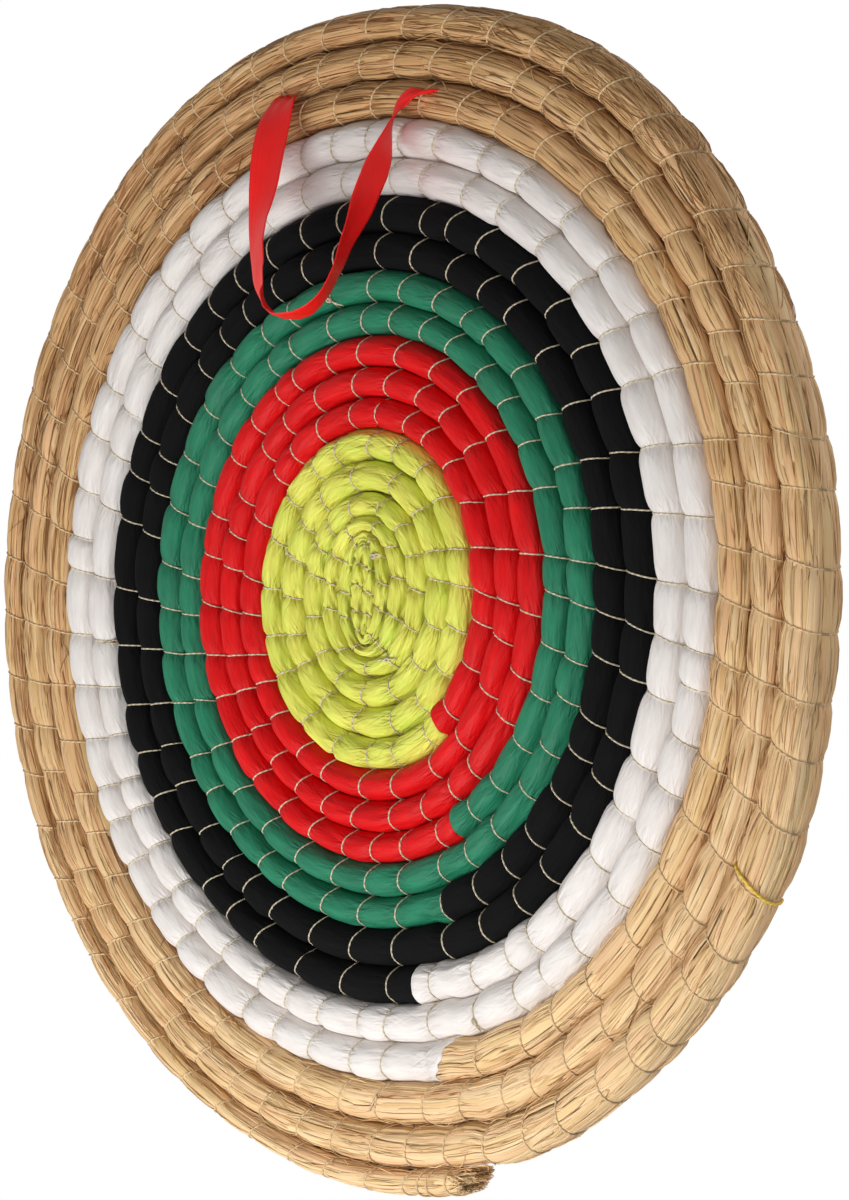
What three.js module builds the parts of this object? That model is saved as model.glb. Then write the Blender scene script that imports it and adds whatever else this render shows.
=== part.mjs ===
// A straw archery target: one straw rope coiled flat, its inner rounds covered in five coloured
// wraps, with a satin ribbon loop at the top to hang it by.
// Millimetres and degrees. X runs across the face, Y is depth with the face towards -Y, Z is up.
// The origin is on the flat back, in the middle of the coil's innermost round.
import * as THREE from 'three';

// Angles round the coil are counted from +X towards +Z, which is how the rope winds outwards.
const FULL_TURN = 360;
const STEPS_PER_ROUND = 24;
const STEP_TURN = FULL_TURN / STEPS_PER_ROUND;

// The rope as it is coiled. Widths are across the rope in the plane of the coil.
const START_ANGLE = -42;
const START_RADIUS = 1.1;
const START_STRETCH = 5.5;
const ROUND_GAP = 0.6;
const ROPE_DEPTH = 24;
const START_WIDTH = 5.8;
const YELLOW_WIDTH = 13;
const RED_WIDTH = 12.8;
const GREEN_WIDTH = 13.5;
const BLACK_WIDTH = 15.3;
const WHITE_WIDTH = 15.9;
const STRAW_WIDTH = 16.8;
const END_WIDTH = 9;
const END_DEPTH = 19;

// How far round the coil each stretch of the rope runs, from the middle outwards.
const YELLOW_SWEEP_ANGLE = 2148.4;
const RED_SWEEP_ANGLE = 1072;
const GREEN_SWEEP_ANGLE = 710.9;
const BLACK_SWEEP_ANGLE = 710.5;
const WHITE_SWEEP_ANGLE = 723.7;
const STRAW_SWEEP_ANGLE = 1084.5;
const START_TAPER_ANGLE = 1620;
const END_TAPER_ANGLE = 300;
const END_THINNING_ANGLE = 45;
// The small rounds up to this turn are drawn with every second step.
const COARSE_ANGLE = 1080;
const ORIGIN_ANGLE = 45;
const CLOSEST_ANGLE = 0.25;

// The rope is packed a little wider at the sides than above and below.
const SIDE_SWELL_SHARE = 0.018;
// The flat front and back of the rope's six-sided section, as a share of its width.
const FLAT_SHARE = 0.5;

// The coloured wraps, each a sleeve over the rope.
const WRAP_WALL = 0.8;
const SEAT_GAP = 0.3;

// The twine turns round the rope's outer end.
const TWINE_DIAMETER = 1.2;
const WHIPPING_TURNS = 3;
const WHIPPING_PITCH = 8.5;
const WHIPPING_FROM_END = 12;
const WHIPPING_SLACK = 0.3;
const CORD_SIDES = 5;

// The flat tie over the outermost round.
const TIE_ANGLE = -25;
const TIE_WIDTH = 1.8;
const TIE_THICKNESS = 0.6;
const TIE_TUCK_SHARE = 0.55;

// The satin ribbon: two ends tucked into the groove between the first two bare rounds, and the loop.
const RIBBON_WIDTH = 15;
const RIBBON_THICKNESS = 0.8;
const GATHERED_WIDTH = 8;
const LEFT_ANCHOR_ANGLE = 104;
const RIGHT_ANCHOR_ANGLE = 80;
const RIBBON_TUCK = 10;
const HINGE_OUT = 9;
const HINGE_DROP = 6.5;
const HINGE_GAP = 0.45;
const LOOP_DROP = 91.5;
const LOOP_REACH = 28;
const LOOP_SIDE = 1;
const LOOP_BOTTOM_REACH = 32;
const LOOP_RIGHT_REACH = 22;
const LEFT_HINGE_IN = 3;
const LEFT_LEG_OUT = 19;
const LEFT_LEG_DOWN = 34;
const RIGHT_LEG_OUT = 14;
const LOOP_STEPS = 36;
const END_STEPS = 6;
// Where along the loop, as shares of its length, the ribbon's width points in which direction,
// in degrees from +X towards the viewer.
const LOOP_TWIST_SHARES = [0, 0.04, 0.11, 0.22, 0.33, 0.42, 0.5, 0.6, 0.78, 0.87, 0.93, 0.98, 1];
const LOOP_TWISTS = [0, -8, -19, 0, 20, 50, 90, 70, 104, 80, 40, 6, 0];
const GATHER_FROM_SHARE = 0.84;

const WRAPS = [
  { name: 'yellow_wrap', turn: YELLOW_SWEEP_ANGLE, width: YELLOW_WIDTH, colour: 0xd7da5a, roughness: 0.55 },
  { name: 'red_wrap', turn: RED_SWEEP_ANGLE, width: RED_WIDTH, colour: 0xcc1c20, roughness: 0.6 },
  { name: 'green_wrap', turn: GREEN_SWEEP_ANGLE, width: GREEN_WIDTH, colour: 0x2a7d5b, roughness: 0.6 },
  { name: 'black_wrap', turn: BLACK_SWEEP_ANGLE, width: BLACK_WIDTH, colour: 0x1c1c1d, roughness: 0.85 },
  { name: 'white_wrap', turn: WHITE_SWEEP_ANGLE, width: WHITE_WIDTH, colour: 0xf0f0f0, roughness: 0.8 },
];
const WRAPPED_TURN = WRAPS.reduce((sum, wrap) => sum + wrap.turn, 0);
const ROPE_TURN = WRAPPED_TURN + STRAW_SWEEP_ANGLE;
const LAST_STATION = Math.round(ROPE_TURN / STEP_TURN);

const ACROSS = new THREE.Vector3(1, 0, 0);
const DEPTH = new THREE.Vector3(0, 1, 0);
const MIDDLE_Y = -ROPE_DEPTH / 2;

function degrees(angle) {
  return THREE.MathUtils.degToRad(angle);
}

function outward(angle) {
  return new THREE.Vector3(Math.cos(degrees(angle)), 0, Math.sin(degrees(angle)));
}

// The rope's width at a turn, before the swell at the sides.
function plainWidth(turn) {
  if (turn < START_TAPER_ANGLE) {
    return THREE.MathUtils.lerp(START_WIDTH, YELLOW_WIDTH, turn / START_TAPER_ANGLE);
  }
  let reached = 0;
  for (const wrap of WRAPS) {
    reached += wrap.turn;
    if (turn < reached) return wrap.width;
  }
  const left = (ROPE_TURN - turn) / END_TAPER_ANGLE;
  return THREE.MathUtils.lerp(END_WIDTH, STRAW_WIDTH, THREE.MathUtils.clamp(left, 0, 1));
}

function depthAt(turn) {
  const left = (ROPE_TURN - turn) / END_THINNING_ANGLE;
  return THREE.MathUtils.lerp(END_DEPTH, ROPE_DEPTH, THREE.MathUtils.clamp(left, 0, 1));
}

// The end of the rope stands off the round inside it, so that the twine can pass between them.
function endLift(turn) {
  const share = 1 - (ROPE_TURN - turn - STEP_TURN) / STEP_TURN;
  const lift = TWINE_DIAMETER + 2 * SEAT_GAP - ROUND_GAP + WHIPPING_SLACK;
  return lift * THREE.MathUtils.clamp(share, 0, 1);
}

// The middle and size of the rope at every step. After the first round each place is worked out
// from the one a full round before it, so neighbouring rounds keep the same gap all the way.
function layRope() {
  const stations = [];
  for (let index = 0; index <= LAST_STATION; index += 1) {
    const turn = index * STEP_TURN;
    const angle = START_ANGLE + turn;
    const swell = 1 + SIDE_SWELL_SHARE * Math.cos(2 * degrees(angle));
    const width = plainWidth(turn) * swell;
    const station = { turn, width, direction: outward(angle), depth: depthAt(turn) };
    const inner = stations[Math.max(index - STEPS_PER_ROUND, 0)] ?? station;
    const pitch = (station.width + inner.width) / 2 + ROUND_GAP + endLift(turn);
    if (index < STEPS_PER_ROUND) {
      const radius = START_RADIUS + pitch * index / STEPS_PER_ROUND;
      station.place = new THREE.Vector3(0, 0, START_STRETCH * station.direction.z);
      station.place.addScaledVector(station.direction, radius);
    } else {
      station.place = inner.place.clone().addScaledVector(station.direction, pitch);
    }
    stations.push(station);
  }
  const first = stepBelow(ORIGIN_ANGLE);
  const origin = middleOf(stations[first].place, stations[first + 2].place);
  stations.forEach((station) => station.place.sub(origin));
  return stations;
}

function middleOf(first, second) {
  return first.clone().lerp(second, 1 / 2);
}

// The wide step at or below a turn among the small inner rounds.
function stepBelow(turn) {
  return 2 * Math.floor(turn / (2 * STEP_TURN));
}

// The rope between two steps runs straight, so everything there is in proportion.
function between(stations, turn) {
  const step = turn / STEP_TURN;
  const first = stations[Math.min(Math.floor(step), LAST_STATION - 1)];
  const second = stations[Math.min(Math.floor(step), LAST_STATION - 1) + 1];
  const share = (turn - first.turn) / STEP_TURN;
  return {
    turn,
    place: first.place.clone().lerp(second.place, share),
    direction: first.direction.clone().lerp(second.direction, share),
    width: THREE.MathUtils.lerp(first.width, second.width, share),
    depth: THREE.MathUtils.lerp(first.depth, second.depth, share),
  };
}

// The steps from one turn to another, with the wider steps of the small inner rounds.
function stretch(stations, fromTurn, toTurn) {
  const inside = stations.filter((station, index) => {
    const kept = station.turn >= COARSE_ANGLE || index % 2 === 0;
    return kept && station.turn > fromTurn + CLOSEST_ANGLE && station.turn < toTurn - CLOSEST_ANGLE;
  });
  return [between(stations, fromTurn), ...inside, between(stations, toTurn)];
}

// The six corners of the rope's section, drawn in by a distance: out from the round's middle is x,
// and depth is y. The order is anticlockwise looking against the way the rope runs.
function sectionCorners(station, inset) {
  const side = station.width / 2;
  const front = station.depth / 2;
  const slant = side * (1 - FLAT_SHARE);
  const slope = Math.hypot(front, slant) / front;
  const tip = side - inset * slope;
  const flat = tip - slant * (1 - inset / front);
  const high = front - inset;
  return [[tip, 0], [flat, high], [-flat, high], [-tip, 0], [-flat, -high], [flat, -high]];
}

function inSection(station, [out, depth]) {
  const place = station.place.clone().addScaledVector(station.direction, out);
  return place.addScaledVector(DEPTH, MIDDLE_Y + depth);
}

function sectionRing(station, inset) {
  return sectionCorners(station, inset).map((corner) => inSection(station, corner));
}

function geometryOf(points, triangles) {
  const geometry = new THREE.BufferGeometry();
  const positions = points.flatMap((point) => point.toArray());
  geometry.setAttribute('position', new THREE.Float32BufferAttribute(positions, 3));
  geometry.setIndex(triangles);
  geometry.computeVertexNormals();
  return geometry;
}

// Joins rings of points into a skin. Each ring runs anticlockwise looking against the way the
// rings follow each other, so the skin faces out, or in when it is turned.
function skin(rings, firstPoint, inwards) {
  const sides = rings[0].length;
  const triangles = [];
  for (let ring = 0; ring + 1 < rings.length; ring += 1) {
    for (let side = 0; side < sides; side += 1) {
      const a = firstPoint + ring * sides + side;
      const b = firstPoint + ring * sides + (side + 1) % sides;
      const faces = [[a, b, a + sides], [b, b + sides, a + sides]];
      for (const [p, q, r] of faces) triangles.push(...(inwards ? [p, r, q] : [p, q, r]));
    }
  }
  return triangles;
}

// A solid bar through rings of points, closed flat at both ends.
function bar(rings) {
  const sides = rings[0].length;
  const last = (rings.length - 1) * sides;
  const triangles = skin(rings, 0, false);
  for (let side = 1; side + 1 < sides; side += 1) {
    triangles.push(0, side + 1, side);
    triangles.push(last, last + side, last + side + 1);
  }
  return geometryOf(rings.flat(), triangles);
}

// An open-ended sleeve between an outer and an inner row of rings.
function sleeve(outerRings, innerRings) {
  const sides = outerRings[0].length;
  const innerFirst = outerRings.length * sides;
  const last = innerFirst - sides;
  const triangles = [...skin(outerRings, 0, false), ...skin(innerRings, innerFirst, true)];
  for (let side = 0; side < sides; side += 1) {
    const next = (side + 1) % sides;
    triangles.push(side, innerFirst + side, next);
    triangles.push(next, innerFirst + side, innerFirst + next);
    triangles.push(last + side, last + next, innerFirst + last + side);
    triangles.push(last + next, innerFirst + last + next, innerFirst + last + side);
  }
  return geometryOf([...outerRings, ...innerRings].flat(), triangles);
}

function mesh(name, geometry, colour, roughness) {
  const material = new THREE.MeshStandardMaterial({ color: colour, roughness, metalness: 0 });
  const part = new THREE.Mesh(geometry, material);
  part.name = name;
  return part;
}

// The straw rope is one unbroken bar: slimmer inside the wraps, full size where it is bare.
function strawRope(stations) {
  const inset = WRAP_WALL + SEAT_GAP;
  const wrapped = stretch(stations, 0, WRAPPED_TURN).map((station) => sectionRing(station, inset));
  const bareFrom = WRAPPED_TURN + turnFor(stations, WRAPPED_TURN, SEAT_GAP);
  const bare = stretch(stations, bareFrom, ROPE_TURN).map((station) => sectionRing(station, 0));
  wrapped.pop();
  wrapped.push(sectionRing(between(stations, bareFrom), inset));
  return bar([...wrapped, ...bare]);
}

// The turn that takes up a length along the rope.
function turnFor(stations, turn, length) {
  const step = Math.min(Math.floor(turn / STEP_TURN), LAST_STATION - 1);
  return STEP_TURN * length / stations[step].place.distanceTo(stations[step + 1].place);
}

// The first turn from a given one on that lies at an angle round the coil.
function turnAtAngle(angle, fromTurn) {
  return fromTurn + THREE.MathUtils.euclideanModulo(angle - START_ANGLE - fromTurn, FULL_TURN);
}

function wrapSleeve(stations, fromTurn, toTurn) {
  const covered = stretch(stations, fromTurn, toTurn);
  const outer = covered.map((station) => sectionRing(station, 0));
  const inner = covered.map((station) => sectionRing(station, WRAP_WALL));
  return sleeve(outer, inner);
}

function wrapMeshes(stations) {
  let fromTurn = 0;
  return WRAPS.map((wrap) => {
    const toTurn = fromTurn + wrap.turn;
    const start = fromTurn > 0 ? fromTurn + turnFor(stations, fromTurn, SEAT_GAP) : fromTurn;
    fromTurn = toTurn;
    return mesh(wrap.name, wrapSleeve(stations, start, toTurn), wrap.colour, wrap.roughness);
  });
}

// The twine's middle line: round the section's corners and the middles of its flats, moving
// towards the rope's end all the while. Each stop has the middle of the rope beside it.
function whippingStops(stations) {
  const offset = -(SEAT_GAP + TWINE_DIAMETER / 2);
  const cornerPairs = [[0, 0], [1, 1], [1, 2], [2, 2], [3, 3], [4, 4], [4, 5], [5, 5]];
  const stops = [];
  for (let index = 0; index <= WHIPPING_TURNS * cornerPairs.length; index += 1) {
    const along = WHIPPING_FROM_END + WHIPPING_PITCH * (WHIPPING_TURNS - index / cornerPairs.length);
    const station = between(stations, ROPE_TURN - turnFor(stations, ROPE_TURN, along));
    const corners = sectionCorners(station, offset);
    const [first, second] = cornerPairs[index % cornerPairs.length];
    const corner = [0, 1].map((axis) => (corners[first][axis] + corners[second][axis]) / 2);
    stops.push({ point: inSection(station, corner), middle: inSection(station, [0, 0]) });
  }
  return stops;
}

// A five-sided cord through stops, its corners mitred.
function cordThrough(stops, diameter) {
  const rings = stops.map(({ point, middle }, index) => {
    const ahead = stops[Math.min(index + 1, stops.length - 1)].point;
    const behind = stops[Math.max(index - 1, 0)].point;
    const run = ahead.clone().sub(behind).normalize();
    const away = point.clone().sub(middle);
    away.addScaledVector(run, -away.dot(run)).normalize();
    const beside = run.clone().cross(away);
    return Array.from({ length: CORD_SIDES }, (_, side) => {
      const turn = degrees(FULL_TURN * side / CORD_SIDES);
      return point.clone()
        .addScaledVector(away, Math.cos(turn) * diameter / 2)
        .addScaledVector(beside, Math.sin(turn) * diameter / 2);
    });
  });
  return bar(rings);
}

// A flat tie that hugs the outermost round, its two ends tucked into the groove inside it.
function tieBand(stations) {
  const turn = turnAtAngle(TIE_ANGLE, ROPE_TURN - FULL_TURN);
  const station = between(stations, turn);
  const step = Math.floor(turn / STEP_TURN);
  const along = stations[step + 1].place.clone().sub(stations[step].place).setLength(TIE_WIDTH / 2);
  const near = tieWalk(sectionCorners(station, -SEAT_GAP));
  const far = tieWalk(sectionCorners(station, -(SEAT_GAP + TIE_THICKNESS)));
  const rings = near.map((corner, index) => {
    const low = inSection(station, corner);
    const high = inSection(station, far[index]);
    return [low.clone().add(along), high.clone().add(along), high.sub(along), low.sub(along)];
  });
  return bar(rings);
}

// Round the section by its corners, from the groove at the front to the groove at the back.
function tieWalk(corners) {
  const tuck = (from) => [0, 1].map((axis) => {
    return THREE.MathUtils.lerp(corners[from][axis], corners[3][axis], TIE_TUCK_SHARE);
  });
  return [tuck(4), corners[4], corners[5], corners[0], corners[1], corners[2], tuck(2)];
}

// The mouth of the groove between the first two bare rounds, and the way it runs.
function grooveAt(stations, angle) {
  const station = between(stations, turnAtAngle(angle, WRAPPED_TURN));
  const place = station.place.clone().addScaledVector(station.direction, (station.width + ROUND_GAP) / 2);
  const along = DEPTH.clone().cross(station.direction).normalize();
  return { place: place.setY(-ROPE_DEPTH), along };
}

// A strip of ribbon along a curve; across and width give its lie and size at each share.
function ribbonStrip(curve, steps, across, width) {
  const rings = [];
  for (let index = 0; index <= steps; index += 1) {
    const share = index / steps;
    const place = curve.getPoint(share);
    const run = curve.getTangent(share);
    const side = across(share);
    side.addScaledVector(run, -side.dot(run)).normalize();
    const face = run.clone().cross(side).multiplyScalar(RIBBON_THICKNESS / 2);
    side.multiplyScalar(width(share) / 2);
    rings.push([
      place.clone().add(side).add(face),
      place.clone().sub(side).add(face),
      place.clone().sub(side).sub(face),
      place.clone().add(side).sub(face),
    ]);
  }
  return bar(rings);
}

function tableValue(shares, values, share) {
  const next = Math.max(shares.findIndex((entry) => entry >= share), 1);
  const part = (share - shares[next - 1]) / (shares[next] - shares[next - 1]);
  return THREE.MathUtils.lerp(values[next - 1], values[next], THREE.MathUtils.smoothstep(part, 0, 1));
}

// The two points where the ribbon bends between its tucked ends and the loop, on one line along X.
// The loop turns on the upper face of the ribbon there, so that it can fold up over the ends.
function hingePoints(stations) {
  const left = grooveAt(stations, LEFT_ANCHOR_ANGLE);
  const right = grooveAt(stations, RIGHT_ANCHOR_ANGLE);
  const y = -ROPE_DEPTH - HINGE_OUT;
  const z = (left.place.z + right.place.z) / 2 - HINGE_DROP;
  return {
    left: new THREE.Vector3(left.place.x + LEFT_HINGE_IN, y, z),
    right: new THREE.Vector3(right.place.x, y, z),
  };
}

function ribbonEnd(stations, angle, hinge, width) {
  const groove = grooveAt(stations, angle);
  const tucked = groove.place.clone().addScaledVector(DEPTH, RIBBON_TUCK);
  const bend = hinge.clone().addScaledVector(DEPTH, HINGE_OUT / 2);
  const stop = hinge.clone().addScaledVector(DEPTH, HINGE_GAP);
  const curve = new THREE.CubicBezierCurve3(tucked, groove.place, bend, stop);
  const across = (share) => groove.along.clone().lerp(ACROSS, Math.min(2 * share, 1));
  return ribbonStrip(curve, END_STEPS, across, () => width);
}

function ribbonLoop(stations) {
  const { left, right } = hingePoints(stations);
  const leftLeave = new THREE.Vector3(0, -LEFT_LEG_OUT, -LEFT_LEG_DOWN);
  const start = left.clone().addScaledVector(leftLeave.clone().normalize(), HINGE_GAP);
  const bottom = middleOf(left, right).add(new THREE.Vector3(LOOP_SIDE, -LOOP_REACH, -LOOP_DROP));
  const stop = right.clone().addScaledVector(DEPTH, -HINGE_GAP);
  const leftLeg = new THREE.CubicBezierCurve3(
    start,
    left.clone().add(leftLeave),
    bottom.clone().setX(bottom.x - LOOP_BOTTOM_REACH),
    bottom,
  );
  const rightLeg = new THREE.CubicBezierCurve3(
    bottom,
    bottom.clone().setX(bottom.x + LOOP_RIGHT_REACH),
    right.clone().addScaledVector(DEPTH, -RIGHT_LEG_OUT),
    stop,
  );
  const path = new THREE.CurvePath();
  path.add(leftLeg);
  path.add(rightLeg);
  const across = (share) => {
    const twist = degrees(tableValue(LOOP_TWIST_SHARES, LOOP_TWISTS, share));
    return new THREE.Vector3(Math.cos(twist), -Math.sin(twist), 0);
  };
  const width = (share) => {
    const gathered = THREE.MathUtils.smoothstep(share, GATHER_FROM_SHARE, 1);
    return THREE.MathUtils.lerp(RIBBON_WIDTH, GATHERED_WIDTH, gathered);
  };
  return ribbonStrip(path, LOOP_STEPS, across, width);
}

// The least gap between a round of the coil and the next, taken between the tips of the section
// along both facing edges.
function leastRoundGap(stations) {
  let least = Infinity;
  const tip = (station, sign) => inSection(station, [sign * station.width / 2, 0]);
  for (let index = 0; index + STEPS_PER_ROUND + 1 < stations.length; index += 1) {
    const inner = [tip(stations[index], 1), tip(stations[index + 1], 1)];
    const [next, afterNext] = stations.slice(index + STEPS_PER_ROUND);
    const outer = new THREE.Line3(tip(next, -1), tip(afterNext, -1));
    for (let part = 0; part <= STEPS_PER_ROUND; part += 1) {
      const point = inner[0].clone().lerp(inner[1], part / STEPS_PER_ROUND);
      const nearest = outer.closestPointToPoint(point, true, new THREE.Vector3());
      least = Math.min(least, nearest.distanceTo(point));
    }
  }
  return least;
}

// The least gap between one turn of the twine and the next, taken between its stops.
function leastTwineGap(stops) {
  const perTurn = (stops.length - 1) / WHIPPING_TURNS;
  const gaps = stops.slice(perTurn).map(({ point }, index) => point.distanceTo(stops[index].point));
  return Math.min(...gaps) - TWINE_DIAMETER;
}

const stations = layRope();
const hinge = hingePoints(stations);
const whipping = whippingStops(stations);
console.log('least gap between rounds, mm:', leastRoundGap(stations).toFixed(2));
console.log('least gap between twine turns, mm:', leastTwineGap(whipping).toFixed(2));

const target = new THREE.Group();
target.add(mesh('straw_rope', strawRope(stations), 0xd2b27c, 0.9));
target.add(...wrapMeshes(stations));
target.add(mesh('end_whipping', cordThrough(whipping, TWINE_DIAMETER), 0xd9c39a, 0.8));
target.add(mesh('tie_band', tieBand(stations), 0xd8b23c, 0.5));
const leftEnd = ribbonEnd(stations, LEFT_ANCHOR_ANGLE, hinge.left, RIBBON_WIDTH);
const rightEnd = ribbonEnd(stations, RIGHT_ANCHOR_ANGLE, hinge.right, GATHERED_WIDTH);
target.add(mesh('ribbon_left_end', leftEnd, 0xd91a16, 0.35));
target.add(mesh('ribbon_right_end', rightEnd, 0xd91a16, 0.35));
target.add(mesh('ribbon_loop', ribbonLoop(stations), 0xe01e19, 0.35));

export default target;
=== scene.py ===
"""Looks of a coiled straw archery target: cloth wraps, bare straw, sewing twine and a ribbon loop.

Lengths are metres in the part's frame: X across the face, Y out of the back, Z up. Angles round
the coil are degrees from +X towards +Z, which is how the rope winds outwards.
"""

import logging
import math
from dataclasses import dataclass, field
from enum import Enum

import bpy
import numpy as np
from mathutils import Matrix, Vector


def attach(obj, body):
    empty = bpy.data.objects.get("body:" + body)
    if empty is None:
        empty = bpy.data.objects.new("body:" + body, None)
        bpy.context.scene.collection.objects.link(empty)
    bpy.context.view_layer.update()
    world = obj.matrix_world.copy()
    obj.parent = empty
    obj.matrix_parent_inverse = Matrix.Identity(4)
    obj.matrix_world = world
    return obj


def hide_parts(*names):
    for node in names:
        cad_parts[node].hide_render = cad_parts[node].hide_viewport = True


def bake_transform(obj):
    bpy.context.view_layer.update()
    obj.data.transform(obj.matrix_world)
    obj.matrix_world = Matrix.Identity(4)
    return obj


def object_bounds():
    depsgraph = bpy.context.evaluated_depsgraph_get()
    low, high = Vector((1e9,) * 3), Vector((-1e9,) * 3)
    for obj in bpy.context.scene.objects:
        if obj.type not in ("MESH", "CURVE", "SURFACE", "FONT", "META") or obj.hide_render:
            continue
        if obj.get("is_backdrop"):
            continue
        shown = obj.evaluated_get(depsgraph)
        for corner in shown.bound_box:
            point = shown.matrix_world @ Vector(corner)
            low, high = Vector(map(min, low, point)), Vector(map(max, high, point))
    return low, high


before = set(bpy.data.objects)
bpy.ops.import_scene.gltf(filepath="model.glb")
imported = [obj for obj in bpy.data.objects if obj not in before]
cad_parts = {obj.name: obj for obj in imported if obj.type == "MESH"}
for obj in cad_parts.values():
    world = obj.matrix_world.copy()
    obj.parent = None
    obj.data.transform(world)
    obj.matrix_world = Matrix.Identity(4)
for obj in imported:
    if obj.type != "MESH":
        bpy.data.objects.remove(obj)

MM = 0.001
FULL_TURN = 360.0
HALF_TURN = FULL_TURN / 2
SEAM_WIDTH = 0.002 * MM
Colour = tuple[float, float, float]
log = logging.getLogger("straw_target")


class Cover(Enum):
    """What the rope wears on a stretch, from the middle of the coil outwards."""

    YELLOW = "yellow"
    RED = "red"
    GREEN = "green"
    BLACK = "black"
    WHITE = "white"
    BARE = "bare"


@dataclass(frozen=True)
class Stretch:
    """One stretch of the rope: how far round the coil it runs, its width and its stitch spacing."""

    cover: Cover
    sweep: float
    width: float
    spacing: float


STRETCHES = (
    Stretch(Cover.YELLOW, 2148.4, 13.0 * MM, 16.5 * MM),
    Stretch(Cover.RED, 1072.0, 12.8 * MM, 19.8 * MM),
    Stretch(Cover.GREEN, 710.9, 13.5 * MM, 20.6 * MM),
    Stretch(Cover.BLACK, 710.5, 15.3 * MM, 22.8 * MM),
    Stretch(Cover.WHITE, 723.7, 15.9 * MM, 23.6 * MM),
    Stretch(Cover.BARE, 1084.5, 16.55 * MM, 23.4 * MM),
)
STRETCH_ENDS = np.cumsum([stretch.sweep for stretch in STRETCHES])
ROPE_SWEEP = sum(stretch.sweep for stretch in STRETCHES)
BARE_START = ROPE_SWEEP - STRETCHES[-1].sweep


def bell(away: np.ndarray, spread: float) -> np.ndarray:
    """1 in the middle of a bell curve, and less with the distance from it."""
    return np.exp(-((away / spread) ** 2))


def to_nearer_end(share: np.ndarray) -> np.ndarray:
    """How far a share lies from the nearer of 0 and 1."""
    return np.minimum(share, 1 - share)


def length_along(path: np.ndarray) -> np.ndarray:
    """The length passed along a row of points, at each of them."""
    return np.concatenate([[0.0], np.cumsum(np.linalg.norm(np.diff(path, axis=0), axis=1))])


def heading_along(path: np.ndarray) -> np.ndarray:
    """The direction of a row of points, at each of them."""
    run = np.gradient(path, axis=0)
    return run / np.linalg.norm(run, axis=1)[:, None]


def angles_round(column: np.ndarray, count: int) -> np.ndarray:
    """The angles of a rolled grid's columns, of which the last meets the first."""
    return (column % count) * math.tau / count


class Value:
    """A value in a material's node tree that Python's operators build on."""

    def __init__(self, graph: "Nodes", socket: bpy.types.NodeSocket) -> None:
        """Keeps the graph and the socket that gives the value."""
        self.graph = graph
        self.socket = socket

    def __add__(self, other: "Value | float") -> "Value":
        """Adds two values."""
        return self.graph.math("ADD", self, other)

    __radd__ = __add__

    def __sub__(self, other: "Value | float") -> "Value":
        """Takes the other value from this one."""
        return self.graph.math("SUBTRACT", self, other)

    def __rsub__(self, other: float) -> "Value":
        """Takes this value from the other one."""
        return self.graph.math("SUBTRACT", other, self)

    def __mul__(self, other: "Value | float") -> "Value":
        """Multiplies two values."""
        return self.graph.math("MULTIPLY", self, other)

    __rmul__ = __mul__

    def __abs__(self) -> "Value":
        """This value without its sign."""
        return self.graph.math("ABSOLUTE", self)

    def clamped(self) -> "Value":
        """This value held between 0 and 1."""
        return self.graph.node("ShaderNodeClamp", {}, {"Value": self, "Min": 0.0, "Max": 1.0})


@dataclass(frozen=True)
class Grain:
    """The grain of a noise: how often it changes in a metre along and around, and its detail."""

    along: float
    around: float
    detail: float = 2.0
    rough: float = 0.5
    slant: float = 0.0


class Nodes:
    """A node tree whose nodes one method adds."""

    def __init__(self, tree: bpy.types.NodeTree) -> None:
        """Keeps the tree and clears it."""
        self.tree = tree
        self.tree.nodes.clear()

    def node(self, kind: str, settings: dict, values: dict, output: int | str = 0) -> Value:
        """Adds one node.

        Args:
            kind: the node's type.
            settings: attributes of the node that are set first.
            values: numbers, colours or links for its sockets, by name or index.
            output: the output socket that is wanted.

        Returns:
            The value that the node gives.
        """
        made = self.tree.nodes.new(kind)
        for name, setting in settings.items():
            if name == "stops":
                self._set_stops(made, setting)
            else:
                setattr(made, name, setting)
        for key, value in values.items():
            if isinstance(value, Value):
                self.tree.links.new(value.socket, made.inputs[key])
            else:
                made.inputs[key].default_value = value
        return Value(self, made.outputs[output])

    @staticmethod
    def _set_stops(ramp: bpy.types.Node, stops: list[tuple[float, Colour]]) -> None:
        """Gives a colour ramp its stops.

        Args:
            ramp: the ramp's node.
            stops: the place and the colour of each stop.
        """
        elements = ramp.color_ramp.elements
        while len(elements) < len(stops):
            elements.new(1.0)
        for element, (position, colour) in zip(elements, stops):
            element.position = position
            element.color = (*colour, 1.0)

    def math(self, operation: str, first: Value | float, second: Value | float = 0.0) -> Value:
        """Adds a Math node on one or two values."""
        return self.node("ShaderNodeMath", {"operation": operation}, {0: first, 1: second})

    def end(self, kind: str, surface: Value) -> None:
        """Adds the tree's output node and links a shader to it."""
        output = self.tree.nodes.new(kind)
        self.tree.links.new(surface.socket, output.inputs["Surface"])


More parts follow.
